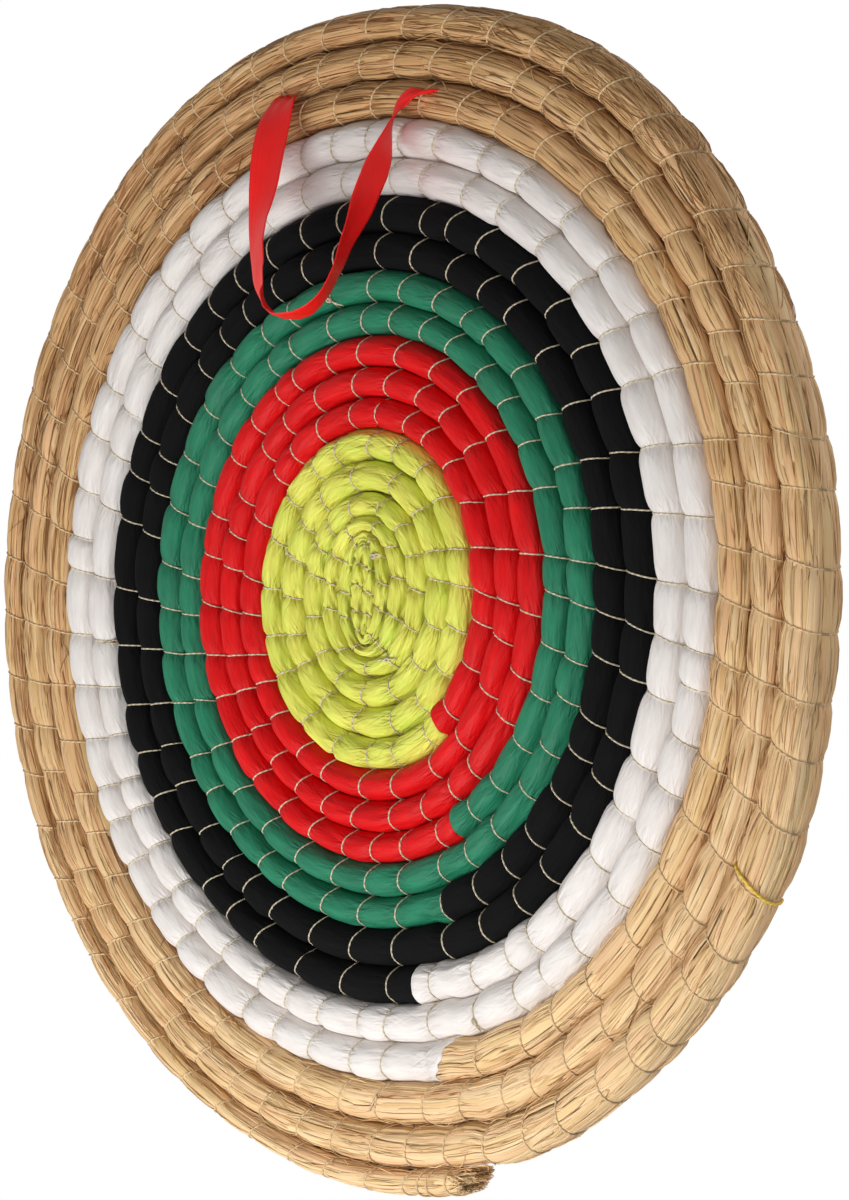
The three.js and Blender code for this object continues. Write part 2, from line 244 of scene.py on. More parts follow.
class Graph(Nodes):
    """The node tree of one material, with a Principled shader at its end."""

    def __init__(self, name: str) -> None:
        """Makes the material, its shader and its output.

        Args:
            name: the material's name.
        """
        self.material = bpy.data.materials.new(name)
        self.material.use_nodes = True
        super().__init__(self.material.node_tree)
        self.shader = self.tree.nodes.new("ShaderNodeBsdfPrincipled")
        self.end("ShaderNodeOutputMaterial", Value(self, self.shader.outputs["BSDF"]))

    def mix(self, share: Value, low: Value | Colour, high: Value | Colour) -> Value:
        """Mixes two colours.

        Args:
            share: 0 gives low and 1 gives high.
            low: a colour or a link.
            high: a colour or a link.

        Returns:
            The mixed colour.
        """
        ends = [c if isinstance(c, Value) else (*c, 1.0) for c in (low, high)]
        values = {0: share, 6: ends[0], 7: ends[1]}
        return self.node("ShaderNodeMix", {"data_type": "RGBA"}, values, 2)

    def tinted(self, colour: Value, tint: Value) -> Value:
        """A colour multiplied by a tint."""
        settings = {"data_type": "RGBA", "blend_type": "MULTIPLY"}
        return self.node("ShaderNodeMix", settings, {0: 1.0, 6: colour, 7: tint}, 2)

    def surface_map(self, along: float, around: float, slant: float = 0.0) -> Value:
        """The piece's own map, which is in metres, stretched and turned for a pattern.

        Args:
            along: the scale along the piece.
            around: the scale around it.
            slant: the pattern's turn on the surface, in radians.

        Returns:
            The vector for a texture.
        """
        flat = self.node("ShaderNodeUVMap", {"uv_map": "UVMap"}, {})
        scale = (1 / along, 1 / around, 1.0)
        values = {"Vector": flat, "Rotation": (0.0, 0.0, slant), "Scale": scale}
        return self.node("ShaderNodeMapping", {"vector_type": "TEXTURE"}, values)

    def noise(self, grain: Grain) -> Value:
        """Smooth noise with its own scales along and around the piece.

        Args:
            grain: the scales and the detail.

        Returns:
            A value from 0 to 1, about 0.5 on average.
        """
        place = self.surface_map(grain.along, grain.around, grain.slant)
        values = {"Vector": place, "Scale": 1.0, "Detail": grain.detail, "Roughness": grain.rough}
        return self.node("ShaderNodeTexNoise", {"noise_dimensions": "3D"}, values)

    def lines(self, grain: Grain, crispness: float) -> Value:
        """Thin wandering lines along the piece: 1 on a line and 0 beside it."""
        return (1.0 - abs(self.noise(grain) - 0.5) * crispness).clamped()

    def attribute(self, name: str) -> Value:
        """A number that the piece's mesh holds at each point."""
        return self.node("ShaderNodeAttribute", {"attribute_name": name}, {}, "Fac")

    def bump(self, height: Value, distance: float) -> None:
        """Feeds a height to the shader's normal."""
        values = {"Height": height, "Distance": distance, "Strength": 1.0}
        self.feed("Normal", self.node("ShaderNodeBump", {}, values))

    def feed(self, socket: str, value: Value | float) -> None:
        """Links or sets one socket of the shader.

        Args:
            socket: the socket's name.
            value: a link, or a number that is the same all over.
        """
        if isinstance(value, Value):
            self.tree.links.new(value.socket, self.shader.inputs[socket])
        else:
            self.shader.inputs[socket].default_value = value


@dataclass(frozen=True)
class ClothFinish:
    """Thin cloth wound on the rope, creased along it where the twine gathers it. Its colour is painted
    darker as shade in the hollows of its folds and along its pressed crinkles, and lighter on the
    folds' crests.
    """

    name: str
    colour: Colour
    shade: Colour
    other: Colour
    roughness: float
    gloss: float
    crumple: float
    crease: float = 0.8 * MM
    folds: Grain = Grain(38.0, 420.0, 3.0, 0.6)
    creases: Grain = Grain(90.0, 1100.0)
    weave: Grain = Grain(2600.0, 2600.0, 1.0)
    blotches: Grain = Grain(55.0, 90.0)
    hues: Grain = Grain(40.0, 60.0)
    crinkles: tuple[Grain, Grain] = (
        Grain(48.0, 230.0, 1.0, slant=0.32),
        Grain(60.0, 260.0, 1.0, slant=-0.28),
    )
    crispness: float = 9.0

    def material(self) -> bpy.types.Material:
        """Builds the cloth's material.

        Returns:
            The material.
        """
        graph = Graph(self.name)
        gather = graph.attribute("gather")
        folds = graph.noise(self.folds)
        blotches = graph.noise(self.blotches)
        right, left = (graph.lines(grain, self.crispness) for grain in self.crinkles)
        pressed = (right + left) * (0.07 + gather * 0.2) * self.crumple
        creases = graph.noise(self.creases) * (0.05 + gather * 0.2)
        depth = (0.3 + gather * 0.4) * folds + creases - pressed
        # Painted shade: the tone darkens the cloth in the folds' hollows and along the pressed
        # crinkles, and lightens the folds' crests. The blotches are the cloth's own uneven tone.
        tone = ((folds - 0.5) * 0.9 + (blotches - 0.5) * 0.8 + 0.75 - pressed * 0.7).clamped()
        hue = ((graph.noise(self.hues) - 0.5) * 3.0 + 0.4).clamped()
        lit = graph.mix(hue, self.colour, self.other)
        graph.feed("Base Color", graph.mix(tone, self.shade, lit))
        graph.feed("Roughness", (blotches - 0.5) * 0.18 + self.roughness)
        graph.feed("Specular IOR Level", self.gloss)
        graph.bump(depth + graph.noise(self.weave) * 0.04, self.crease)
        return graph.material


@dataclass(frozen=True)
class StrawFinish:
    """Flat straw leaves: each leaf has its own tone and fine fibres along it, and slits that are
    painted dark as the shade inside them.
    """

    name: str
    dark: Colour
    middle: Colour
    light: Colour
    golden: Colour = (1.0, 0.97, 0.84)
    plain: Colour = (1.0, 1.0, 1.0)
    rosy: Colour = (1.0, 0.88, 0.84)
    relief: float = 0.25 * MM
    roughness: float = 0.6
    gloss: float = 0.18
    fibres: Grain = Grain(14.0, 1900.0, 2.0, 0.6)
    streaks: Grain = Grain(16.0, 520.0)
    patches: Grain = Grain(30.0, 120.0)
    shaded_slits: Grain = Grain(42.0, 560.0, 1.0)
    slit_places: Grain = Grain(34.0, 180.0, 0.0)
    crispness: float = 13.0

    def material(self) -> bpy.types.Material:
        """Builds the straw's material.

        Returns:
            The material.
        """
        graph = Graph(self.name)
        fibres = graph.noise(self.fibres)
        streaks = graph.noise(self.streaks)
        patches = graph.noise(self.patches)
        sparse = ((graph.noise(self.slit_places) - 0.48) * 6.0).clamped()
        shaded_slits = graph.lines(self.shaded_slits, self.crispness) * sparse
        shades = (fibres - 0.5) * 0.45 + (streaks - 0.5) * 0.65 + (patches - 0.5) * 0.4
        # Painted shade: the slits darken the straw's tone as the shade inside them. The fibres, streaks
        # and patches are the straw's own uneven tone.
        level = (graph.attribute("tone") + shades - shaded_slits * 0.65).clamped()
        stops = [(0.0, self.dark), (0.45, self.middle), (1.0, self.light)]
        colour = graph.node("ShaderNodeValToRGB", {"stops": stops}, {0: level})
        tints = [(0.0, self.golden), (0.5, self.plain), (1.0, self.rosy)]
        tint = graph.node("ShaderNodeValToRGB", {"stops": tints}, {0: graph.attribute("hue")})
        graph.feed("Base Color", graph.tinted(colour, tint))
        graph.feed("Roughness", (patches - 0.5) * 0.2 + self.roughness)
        graph.feed("Specular IOR Level", self.gloss)
        graph.bump(fibres + streaks * 0.7 - shaded_slits * 1.4, self.relief)
        return graph.material


@dataclass(frozen=True)
class TwineFinish:
    """Twisted twine: two plies that wind round each other, with the colour painted darker as shade in
    the groove between them.
    """

    name: str
    colour: Colour
    shade: Colour
    lay: float = 2.6 * MM
    girth: float = 3.4 * MM
    relief: float = 0.18 * MM
    roughness: float = 0.75
    gloss: float = 0.15
    fluff: Grain = Grain(900.0, 2200.0, 2.0, 0.6)

    def material(self) -> bpy.types.Material:
        """Builds the twine's material.

        Returns:
            The material.
        """
        graph = Graph(self.name)
        flat = graph.surface_map(1.0, 1.0)
        along, around = (graph.node("ShaderNodeSeparateXYZ", {}, {0: flat}, axis) for axis in (0, 1))
        phase = along * (math.tau / self.lay) + around * (2.0 * math.tau / self.girth)
        plies = graph.math("SINE", phase) * 0.5 + 0.5
        fluff = graph.noise(self.fluff)
        # Painted shade: the tone darkens the twine where the plies wind into each other. The fluff is
        # its own uneven tone.
        tone = (plies * 0.6 + fluff * 0.5).clamped()
        graph.feed("Base Color", graph.mix(tone, self.shade, self.colour))
        graph.feed("Roughness", self.roughness)
        graph.feed("Specular IOR Level", self.gloss)
        graph.bump(plies + fluff * 0.3, self.relief)
        return graph.material


@dataclass(frozen=True)
class SatinFinish:
    """Satin ribbon: a gloss that runs along it, with fine threads across. Its colour is painted lighter
    as sheen along streaks and darker as shade in the hollows of its waves.
    """

    name: str
    colour: Colour
    shade: Colour
    relief: float = 0.35 * MM
    roughness: float = 0.4
    metallic: float = 0.1
    gloss: float = 0.2
    sheen_turn: float = 0.3
    streaks: Grain = Grain(14.0, 700.0)
    threads: Grain = Grain(5200.0, 260.0, 1.0)
    waves: Grain = Grain(70.0, 120.0)

    def material(self) -> bpy.types.Material:
        """Builds the ribbon's material.

        Returns:
            The material.
        """
        graph = Graph(self.name)
        streaks = graph.noise(self.streaks)
        waves = graph.noise(self.waves)
        # Painted sheen and shade: the streaks paint lighter and darker bands along the ribbon, and the
        # waves paint their hollows darker, between the lit colour and the shade.
        tone = ((streaks - 0.5) * 0.9 + (waves - 0.5) * 0.6 + 0.6).clamped()
        graph.feed("Base Color", graph.mix(tone, self.shade, self.colour))
        graph.feed("Roughness", (streaks - 0.5) * 0.2 + self.roughness)
        graph.feed("Metallic", self.metallic)
        graph.feed("Specular IOR Level", self.gloss)
        graph.feed("Anisotropic", self.sheen_turn)
        graph.bump(waves + streaks * 0.25 + graph.noise(self.threads) * 0.08, self.relief)
        return graph.material


@dataclass
class Lay:
    """The rope at a row of places: each field is an array with one entry per place."""

    place: np.ndarray
    out: np.ndarray
    run: np.ndarray
    width: np.ndarray
    depth: np.ndarray


@dataclass
class CoilLine:
    """The rope's middle line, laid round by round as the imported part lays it.

    Turns and angles are in degrees. Each swell of the bare straw has its angle round the coil,
    its spread and the share of the width that it adds.
    """

    start_angle: float = -42.0
    start_radius: float = 1.1 * MM
    start_stretch: float = 5.5 * MM
    start_width: float = 5.8 * MM
    start_taper: float = 1620.0
    fold_stretch: float = 17.0 * MM
    fold_turns: float = 1122.0
    round_gap: float = 0.6 * MM
    depth: float = 24.0 * MM
    end_width: float = 10.0 * MM
    end_depth: float = 19.0 * MM
    end_taper: float = 300.0
    end_thinning: float = 45.0
    end_lift: float = 0.3 * MM
    lift_turn: float = 15.0
    tuft_length: float = 42.0 * MM
    thinnest: float = 0.15
    side_swell: float = 0.018
    swell_start: float = 20.0
    straw_swells: tuple[tuple[float, float, float], ...] = (
        (57.0, 20.0, 0.085),
        (87.0, 16.0, -0.04),
        (125.0, 8.0, 0.025),
        (165.0, 38.0, -0.055),
        (274.0, 19.0, 0.075),
        (293.0, 8.0, 0.05),
        (337.0, 9.0, 0.04),
        (354.0, 10.0, -0.03),
    )
    step: float = 1.5
    origin_turns: tuple[float, float] = (30.0, 60.0)
    turns: np.ndarray = field(init=False)
    lengths: np.ndarray = field(init=False)
    places: np.ndarray = field(init=False)
    drawn_widths: np.ndarray = field(init=False)

    def __post_init__(self) -> None:
        """Lays the rope from the middle outwards."""
        count = round(ROPE_SWEEP / self.step)
        per_round = round(FULL_TURN / self.step)
        self.turns = np.arange(count + 1) * self.step
        outs = self.outward(self.turns)
        widths = self.widths(self.turns)
        places = np.zeros((count + 1, 2))
        reach = np.zeros(count + 1)
        for index in range(count + 1):
            inner = max(index - per_round, 0)
            pitch = (widths[index] + widths[inner]) / 2 + self.round_gap + self.lift(self.turns[index])
            if index < per_round:
                reach[index] = self.start_radius + pitch * index / per_round
                places[index] = outs[index] * reach[index]
                places[index, 1] += self.start_stretch * outs[index, 1]
            else:
                reach[index] = reach[inner] + pitch
                places[index] = places[inner] + outs[index] * pitch
        places, self.drawn_widths = self.folded(places, reach, widths)
        first, second = (round(turn / self.step) for turn in self.origin_turns)
        self.places = places - (places[first] + places[second]) / 2
        self.lengths = length_along(self.places)

    def folded(
        self, places: np.ndarray, reach: np.ndarray, widths: np.ndarray
    ) -> tuple[np.ndarray, np.ndarray]:
        """Draws the first rounds out into a long upright fold, as the rope starts.

        Args:
            places: the middle line as it is laid round by round.
            reach: how far out each place lies, at the height of the middle.
            widths: the rope's widths before the fold squeezes them.

        Returns:
            The middle line, and the widths that the rounds have room for.
        """
        outs = self.outward(self.turns)
        left = np.clip(1 - self.turns / self.fold_turns, 0, 1)
        stretch = self.start_stretch + (self.fold_stretch - self.start_stretch) * left
        semi = np.stack([reach, reach + stretch], axis=-1)
        distance = np.linalg.norm(semi * outs, axis=-1)
        upright = semi**2 * outs / distance[:, None]
        inside = self.turns < self.fold_turns
        places = np.where(inside[:, None], upright, places)
        distance = np.where(inside, distance, np.sum(places * outs, axis=-1))
        per_round = round(FULL_TURN / self.step)
        room = distance[per_round:] - distance[:-per_round]
        outer = np.concatenate([room, np.repeat(room[-1], per_round)])
        inner = np.concatenate([room[:per_round], room])
        squeezed = (outer + inner) / 2 - self.round_gap
        return places, np.where(inside, np.minimum(squeezed, widths), widths)

    @property
    def length(self) -> float:
        """The rope's whole length."""
        return float(self.lengths[-1])

    def outward(self, turns: np.ndarray) -> np.ndarray:
        """The outward directions, as X and Z, at turns along the rope."""
        angles = np.radians(self.start_angle + turns)
        return np.stack([np.cos(angles), np.sin(angles)], axis=-1)

    def widths(self, turns: np.ndarray) -> np.ndarray:
        """The rope's widths, a little wider at the sides of the coil.

        Args:
            turns: turns along the rope.

        Returns:
            One width per turn.
        """
        plain = np.array([stretch.width for stretch in STRETCHES])
        worn = np.searchsorted(STRETCH_ENDS, turns, side="right")
        widths = plain[np.minimum(worn, len(plain) - 1)]
        share = np.clip(turns / self.start_taper, 0, 1)
        widths = np.where(
            turns < self.start_taper,
            self.start_width + (plain[0] - self.start_width) * share,
            widths,
        )
        left = (ROPE_SWEEP - turns) / self.end_taper
        widths = np.where(left < 1, self.end_width + (plain[-1] - self.end_width) * left, widths)
        angles = self.start_angle + turns
        bare = np.clip((turns - BARE_START) / self.swell_start, 0, 1)
        for middle, spread, share in self.straw_swells:
            away = (angles - middle + HALF_TURN) % FULL_TURN - HALF_TURN
            widths = widths * (1 + bare * share * bell(away, spread))
        return widths * (1 + self.side_swell * np.cos(2 * np.radians(angles)))

    def lift(self, turn: float) -> float:
        """How far the last of the rope stands off the round inside it, at a turn."""
        share = 1 - (ROPE_SWEEP - turn - self.lift_turn) / self.lift_turn
        return self.end_lift * min(max(share, 0.0), 1.0)

    def length_at(self, turn: float | np.ndarray) -> np.ndarray:
        """The length of rope up to a turn."""
        return np.interp(turn, self.turns, self.lengths)

    def turn_at(self, length: float | np.ndarray) -> np.ndarray:
        """The turn at a length of rope."""
        return np.interp(length, self.lengths, self.turns)

    @property
    def last_round(self) -> float:
        """The length of rope up to the outermost round."""
        return float(self.length_at(ROPE_SWEEP - FULL_TURN))

    def outer_turn(self, angle: float) -> float:
        """The turn at which the outermost round passes an angle round the coil."""
        first = ROPE_SWEEP - FULL_TURN
        return first + (angle - self.start_angle - first) % FULL_TURN

    def at(self, lengths: np.ndarray) -> Lay:
        """The rope at lengths along it.

        Args:
            lengths: an array of any shape.

        Returns:
            The lay at each length, with arrays of the same shape.
        """
        turns = self.turn_at(lengths)
        place = np.stack(
            [np.interp(turns, self.turns, self.places[:, axis]) for axis in (0, 1)], axis=-1
        )
        out = self.outward(turns)
        run = np.stack([-out[..., 1], out[..., 0]], axis=-1)
        left = np.clip((ROPE_SWEEP - turns) / self.end_thinning, 0, 1)
        depth = self.end_depth + (self.depth - self.end_depth) * left
        past = np.maximum(np.asarray(lengths) - self.length, 0.0)
        thin = np.clip(1 - past / self.tuft_length, self.thinnest, 1)
        place = place + run * past[..., None]
        widths = np.interp(turns, self.turns, self.drawn_widths)
        return Lay(place, out, run, widths * thin, depth * thin)


@dataclass
class RopeSurface:
    """The rope's outside as the twine shapes it: drawn in at each stitch, full between them.

    Rooms are how far the rope swells past its plain width and depth between stitches. Pinches are
    how far a stitch draws it in. The sides of neighbouring rounds keep touching.
    """

    line: CoilLine
    seed: int = 7
    first_stitch: float = 9.0 * MM
    first_spacing: float = 8.5 * MM
    unevenness: float = 0.16
    plumpness: tuple[float, float] = (0.65, 1.25)
    neighbour_reach: float = 0.36
    neighbour_pull: float = 0.85
    lean: float = 2.0 * MM
    straw_lean: float = 3.6 * MM
    squareness: float = 2.35
    straw_squareness: float = 2.3
    narrow_squareness: float = 3.6
    narrow_widths: tuple[float, float] = (4.0 * MM, 9.0 * MM)
    fullness: float = 3.2
    shoulder: float = 1.6
    side_touch: float = 0.4 * MM
    side_room: float = 1.0 * MM
    side_pinch: float = 0.8 * MM
    face_room: float = 0.9 * MM
    face_pinch: float = 1.3 * MM
    full_width: float = 16.0 * MM
    straw_give: float = 0.65
    straw_gap: float = 0.3 * MM
    straw_blend: float = 4.0
    stitches: np.ndarray = field(init=False)
    plump: np.ndarray = field(init=False)

    def __post_init__(self) -> None:
        """Places the stitches along the rope."""
        rng = np.random.default_rng(self.seed)
        found = [self.first_stitch]
        while found[-1] < self.line.length:
            step = self.spacing(float(self.line.turn_at(found[-1])))
            wanted = found[-1] + step * (1 + rng.uniform(-self.unevenness, self.unevenness))
            found.append(self.beside(wanted, step, np.array(found)))
        self.stitches = np.array(found[:-1])
        self.plump = rng.uniform(*self.plumpness, len(found) + 1)

    def beside(self, wanted: float, step: float, found: np.ndarray) -> float:
        """Draws a stitch towards the one in the round inside it that the twine passes through.

        Args:
            wanted: the length at which the stitch would lie by itself.
            step: the mean distance between stitches there.
            found: the stitches so far.

        Returns:
            The length at which it lies.
        """
        line = self.line
        turn = float(line.turn_at(wanted)) - FULL_TURN
        if turn <= 0:
            return wanted
        nearest = found[np.argmin(np.abs(found - line.length_at(turn)))]
        inner_turn = float(line.turn_at(nearest))
        target = float(line.length_at(inner_turn + FULL_TURN)) - 2 * self.lean
        if abs(target - wanted) > self.neighbour_reach * step:
            return wanted
        return wanted + self.neighbour_pull * (target - wanted)

    def spacing(self, turn: float) -> float:
        """The mean distance from one stitch to the next.

        Args:
            turn: the turn along the rope.

        Returns:
            The distance there.
        """
        middles = STRETCH_ENDS - np.array([stretch.sweep for stretch in STRETCHES]) / 2
        values = [stretch.spacing for stretch in STRETCHES]
        return float(np.interp(turn, [0.0, *middles], [self.first_spacing, *values]))

    @property
    def marks(self) -> np.ndarray:
        """The lengths at which the stitches lie, with the rope's two ends."""
        return np.concatenate([[0.0], self.stitches, [self.line.length]])

    def stations(self, shares: tuple[float, ...]) -> np.ndarray:
        """Lengths at the same shares of every space between stitches."""
        marks = self.marks
        return (marks[:-1, None] + np.diff(marks)[:, None] * np.array(shares)).ravel()

    def between(self, lengths: np.ndarray) -> tuple[np.ndarray, np.ndarray]:
        """Which two stitches a length lies between.

        Args:
            lengths: lengths along the rope.

        Returns:
            The index of the space between stitches, and the share of it that is passed.
        """
        marks = self.marks
        index = np.clip(np.searchsorted(marks, lengths, side="right") - 1, 0, len(marks) - 2)
        share = (lengths - marks[index]) / (marks[index + 1] - marks[index])
        return index, np.clip(share, 0, 1)

    def bulge(self, lengths: np.ndarray) -> np.ndarray:
        """How full the rope is between its stitches.

        Args:
            lengths: lengths along the rope.

        Returns:
            0 at a stitch and about 1 halfway to the next.
        """
        index, share = self.between(lengths)
        shape = 1 - np.abs(2 * share - 1) ** self.fullness
        return shape * self.plump[index]

    def halves(
        self, lay: Lay, bulge: np.ndarray, bare: np.ndarray, sine: np.ndarray
    ) -> tuple[np.ndarray, np.ndarray]:
        """Half the width and half the depth of the rope's section.

        Args:
            lay: the lay of the rope.
            bulge: how full it is there.
            bare: 1 where the straw is bare and 0 where cloth covers it.
            sine: the sine of the angle round the section.

        Returns:
            The half width, which is drawn in at the shoulders alone, and the half depth.
        """
        shoulder = np.clip(np.abs(sine) * self.shoulder, 0, 1) ** 2
        give = (1 - (1 - self.straw_give) * bare) * (lay.width / self.full_width)
        touch = (self.side_touch - self.straw_gap * bare) * (1 - shoulder)
        pinched = touch - self.side_pinch * shoulder * give
        full = np.maximum(self.side_room * give, touch)
        half_width = lay.width / 2 + pinched + (full - pinched) * bulge
        drawn = (self.face_pinch + self.face_room) * give
        half_depth = lay.depth / 2 + self.face_room * give - drawn * (1 - bulge)
        return half_width, half_depth

    def section(self, lengths: np.ndarray, angles: np.ndarray) -> tuple[np.ndarray, np.ndarray, Lay]:
        """Points on the rope's section and their outward normals.

        Args:
            lengths: lengths along the rope.
            angles: angles round the section, 0 outwards in the coil and 90 degrees to the back.

        Returns:
            The points and normals as out and depth, and the lay of the rope.
        """
        bare = np.clip((self.line.turn_at(lengths) - BARE_START) / self.straw_blend, 0, 1)
        lean = self.lean + (self.straw_lean - self.lean) * bare
        cosine, sine = np.cos(angles), np.sin(angles)
        lay = self.line.at(lengths - lean * cosine)
        half_width, half_depth = self.halves(lay, self.bulge(lengths), bare, sine)
        thin, wide = self.narrow_widths
        narrow = np.clip((wide - lay.width) / (wide - thin), 0, 1)
        square = self.squareness + (self.straw_squareness - self.squareness) * bare
        power = 2 / (square + (self.narrow_squareness - square) * narrow)
        out = half_width * np.sign(cosine) * np.abs(cosine) ** power
        depth = half_depth * np.sign(sine) * np.abs(sine) ** power
        normal_out = np.sign(cosine) * np.abs(cosine) ** (2 - power) / half_width
        normal_depth = np.sign(sine) * np.abs(sine) ** (2 - power) / half_depth
        size = np.hypot(normal_out, normal_depth)
        points = np.stack([out, depth], axis=-1)
        normals = np.stack([normal_out / size, normal_depth / size], axis=-1)
        return points, normals, lay

    def points(self, lengths: np.ndarray, angles: np.ndarray, lift: np.ndarray | float) -> np.ndarray:
        """Places on the rope's surface, raised by a lift along its normal.

        Args:
            lengths: lengths along the rope.
            angles: angles round the section.
            lift: how far above the surface.

        Returns:
            The places, with X, Y and Z last.
        """
        section, normals, lay = self.section(lengths, angles)
        raised = section + normals * np.asarray(lift)[..., None]
        return self.placed(lay, raised)

    def placed(self, lay: Lay, section: np.ndarray) -> np.ndarray:
        """Turns places on a section of the rope into places in the part's frame.

        Args:
            lay: the lay of the rope.
            section: out and depth, last.

        Returns:
            The places, with X, Y and Z last.
        """
        across = lay.place + lay.out * section[..., :1]
        depth = section[..., 1] - self.line.depth / 2
        return np.stack([across[..., 0], depth, across[..., 1]], axis=-1)


def select_only(thing: bpy.types.Object | None = None) -> None:
    """Deselects every object, and selects one where it is given.

    Args:
        thing: the object to select, if any.
    """
    bpy.ops.object.select_all(action="DESELECT")
    if thing:
        thing.select_set(True)
        bpy.context.view_layer.objects.active = thing


def add_grid(name: str, rows: int, columns: int) -> tuple[bpy.types.Object, np.ndarray, np.ndarray]:
    """Adds a flat grid to be shaped, and says where each of its points lies in it.

    Args:
        name: the object's name.
        rows: points along X.
        columns: points along Y.

    Returns:
        The object, and the row and column of each point.
    """
    select_only()
    bpy.ops.mesh.primitive_grid_add(
        x_subdivisions=rows - 1, y_subdivisions=columns - 1, size=1.0, calc_uvs=True
    )
    grid = bpy.context.object
    grid.name = grid.data.name = name
    corners = np.empty(len(grid.data.vertices) * 3)
    grid.data.vertices.foreach_get("co", corners)
    corners = corners.reshape(-1, 3) + 0.5
    row = np.rint(corners[:, 0] * (rows - 1)).astype(int)
    column = np.rint(corners[:, 1] * (columns - 1)).astype(int)
    return grid, row, column


def set_points(thing: bpy.types.Object, points: np.ndarray) -> None:
    """Moves every point of an object's mesh."""
    thing.data.vertices.foreach_set("co", points.astype(np.float32).ravel())
    thing.data.update()


def set_map(thing: bpy.types.Object, flat: np.ndarray) -> None:
    """Writes the map of an object.

    Args:
        thing: the object.
        flat: the flat place of each of its points, in metres along and around it.
    """
    corners = np.empty(len(thing.data.loops), dtype=int)
    thing.data.loops.foreach_get("vertex_index", corners)
    layer = thing.data.uv_layers.active or thing.data.uv_layers.new(name="UVMap")
    layer.name = "UVMap"
    layer.data.foreach_set("uv", flat[corners].astype(np.float32).ravel())


def set_number(thing: bpy.types.Object, name: str, values: np.ndarray) -> None:
    """Stores a number at each point of an object's mesh, for its material to read."""
    attribute = thing.data.attributes.new(name, "FLOAT", "POINT")
    attribute.data.foreach_set("value", values.astype(np.float32))


def close_tube(thing: bpy.types.Object) -> None:
    """Joins a rolled grid along its seam, fills its ends and turns its faces out.

    Args:
        thing: the rolled grid.
    """
    select_only(thing)
    bpy.ops.object.mode_set(mode="EDIT")
    bpy.ops.mesh.select_all(action="SELECT")
    bpy.ops.mesh.remove_doubles(threshold=SEAM_WIDTH)
    bpy.ops.mesh.select_all(action="SELECT")
    bpy.ops.mesh.fill_holes(sides=0)
    bpy.ops.mesh.select_all(action="SELECT")
    bpy.ops.mesh.normals_make_consistent(inside=False)
    bpy.ops.mesh.select_all(action="DESELECT")
    bpy.ops.object.mode_set(mode="OBJECT")


def smooth(thing: bpy.types.Object) -> None:
    """Shades every face of an object smooth."""
    thing.data.polygons.foreach_set("use_smooth", np.ones(len(thing.data.polygons), dtype=bool))


def mesh_from(name: str, points: np.ndarray, faces: np.ndarray) -> bpy.types.Object:
    """Makes an object from points and four-sided faces.

    Args:
        name: the object's name.
        points: one row per point.
        faces: one row of four point numbers per face.

    Returns:
        The object.
    """
    data = bpy.data.meshes.new(name)
    data.vertices.add(len(points))
    data.vertices.foreach_set("co", points.astype(np.float32).ravel())
    data.loops.add(faces.size)
    data.loops.foreach_set("vertex_index", faces.astype(np.int32).ravel())
    data.polygons.add(len(faces))
    data.polygons.foreach_set("loop_start", np.arange(0, faces.size, 4, dtype=np.int32))
    data.update(calc_edges=True)
    thing = bpy.data.objects.new(name, data)
    bpy.context.scene.collection.objects.link(thing)
    return thing


def finish_piece(
    thing: bpy.types.Object, material: bpy.types.Material, slot: str, replaced: tuple[str, ...] = ()
) -> bpy.types.Object:
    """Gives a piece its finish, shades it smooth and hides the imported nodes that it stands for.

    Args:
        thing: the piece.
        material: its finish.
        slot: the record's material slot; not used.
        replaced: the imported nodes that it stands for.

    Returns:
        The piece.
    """
    thing.data.materials.clear()
    thing.data.materials.append(material)
    smooth(thing)
    if replaced:
        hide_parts(*replaced)
    log.info("%s: %d faces", thing.name, len(thing.data.polygons))
    return thing


@dataclass(frozen=True)
class ClothEnd:
    """How a wrap is cut off at its outer end: its slant, its rise over the rope and its tatters.

    Each tatter has its waves round the rope, its phase and its size.
    """

    slant: float = 0.0
    rise: float = 0.0
    fray: float = 0.35 * MM
    length: float = 20.0 * MM
    tatters: tuple[tuple[float, float, float], ...] = ((5, 1.0, 1.0), (11, 0.0, 1.0), (17, 2.0, 0.7))

    def tattered(self, angles: np.ndarray) -> np.ndarray:
        """How far the cut edge wanders at angles round the rope."""
        return sum(size * np.cos(waves * angles + phase) for waves, phase, size in self.tatters)


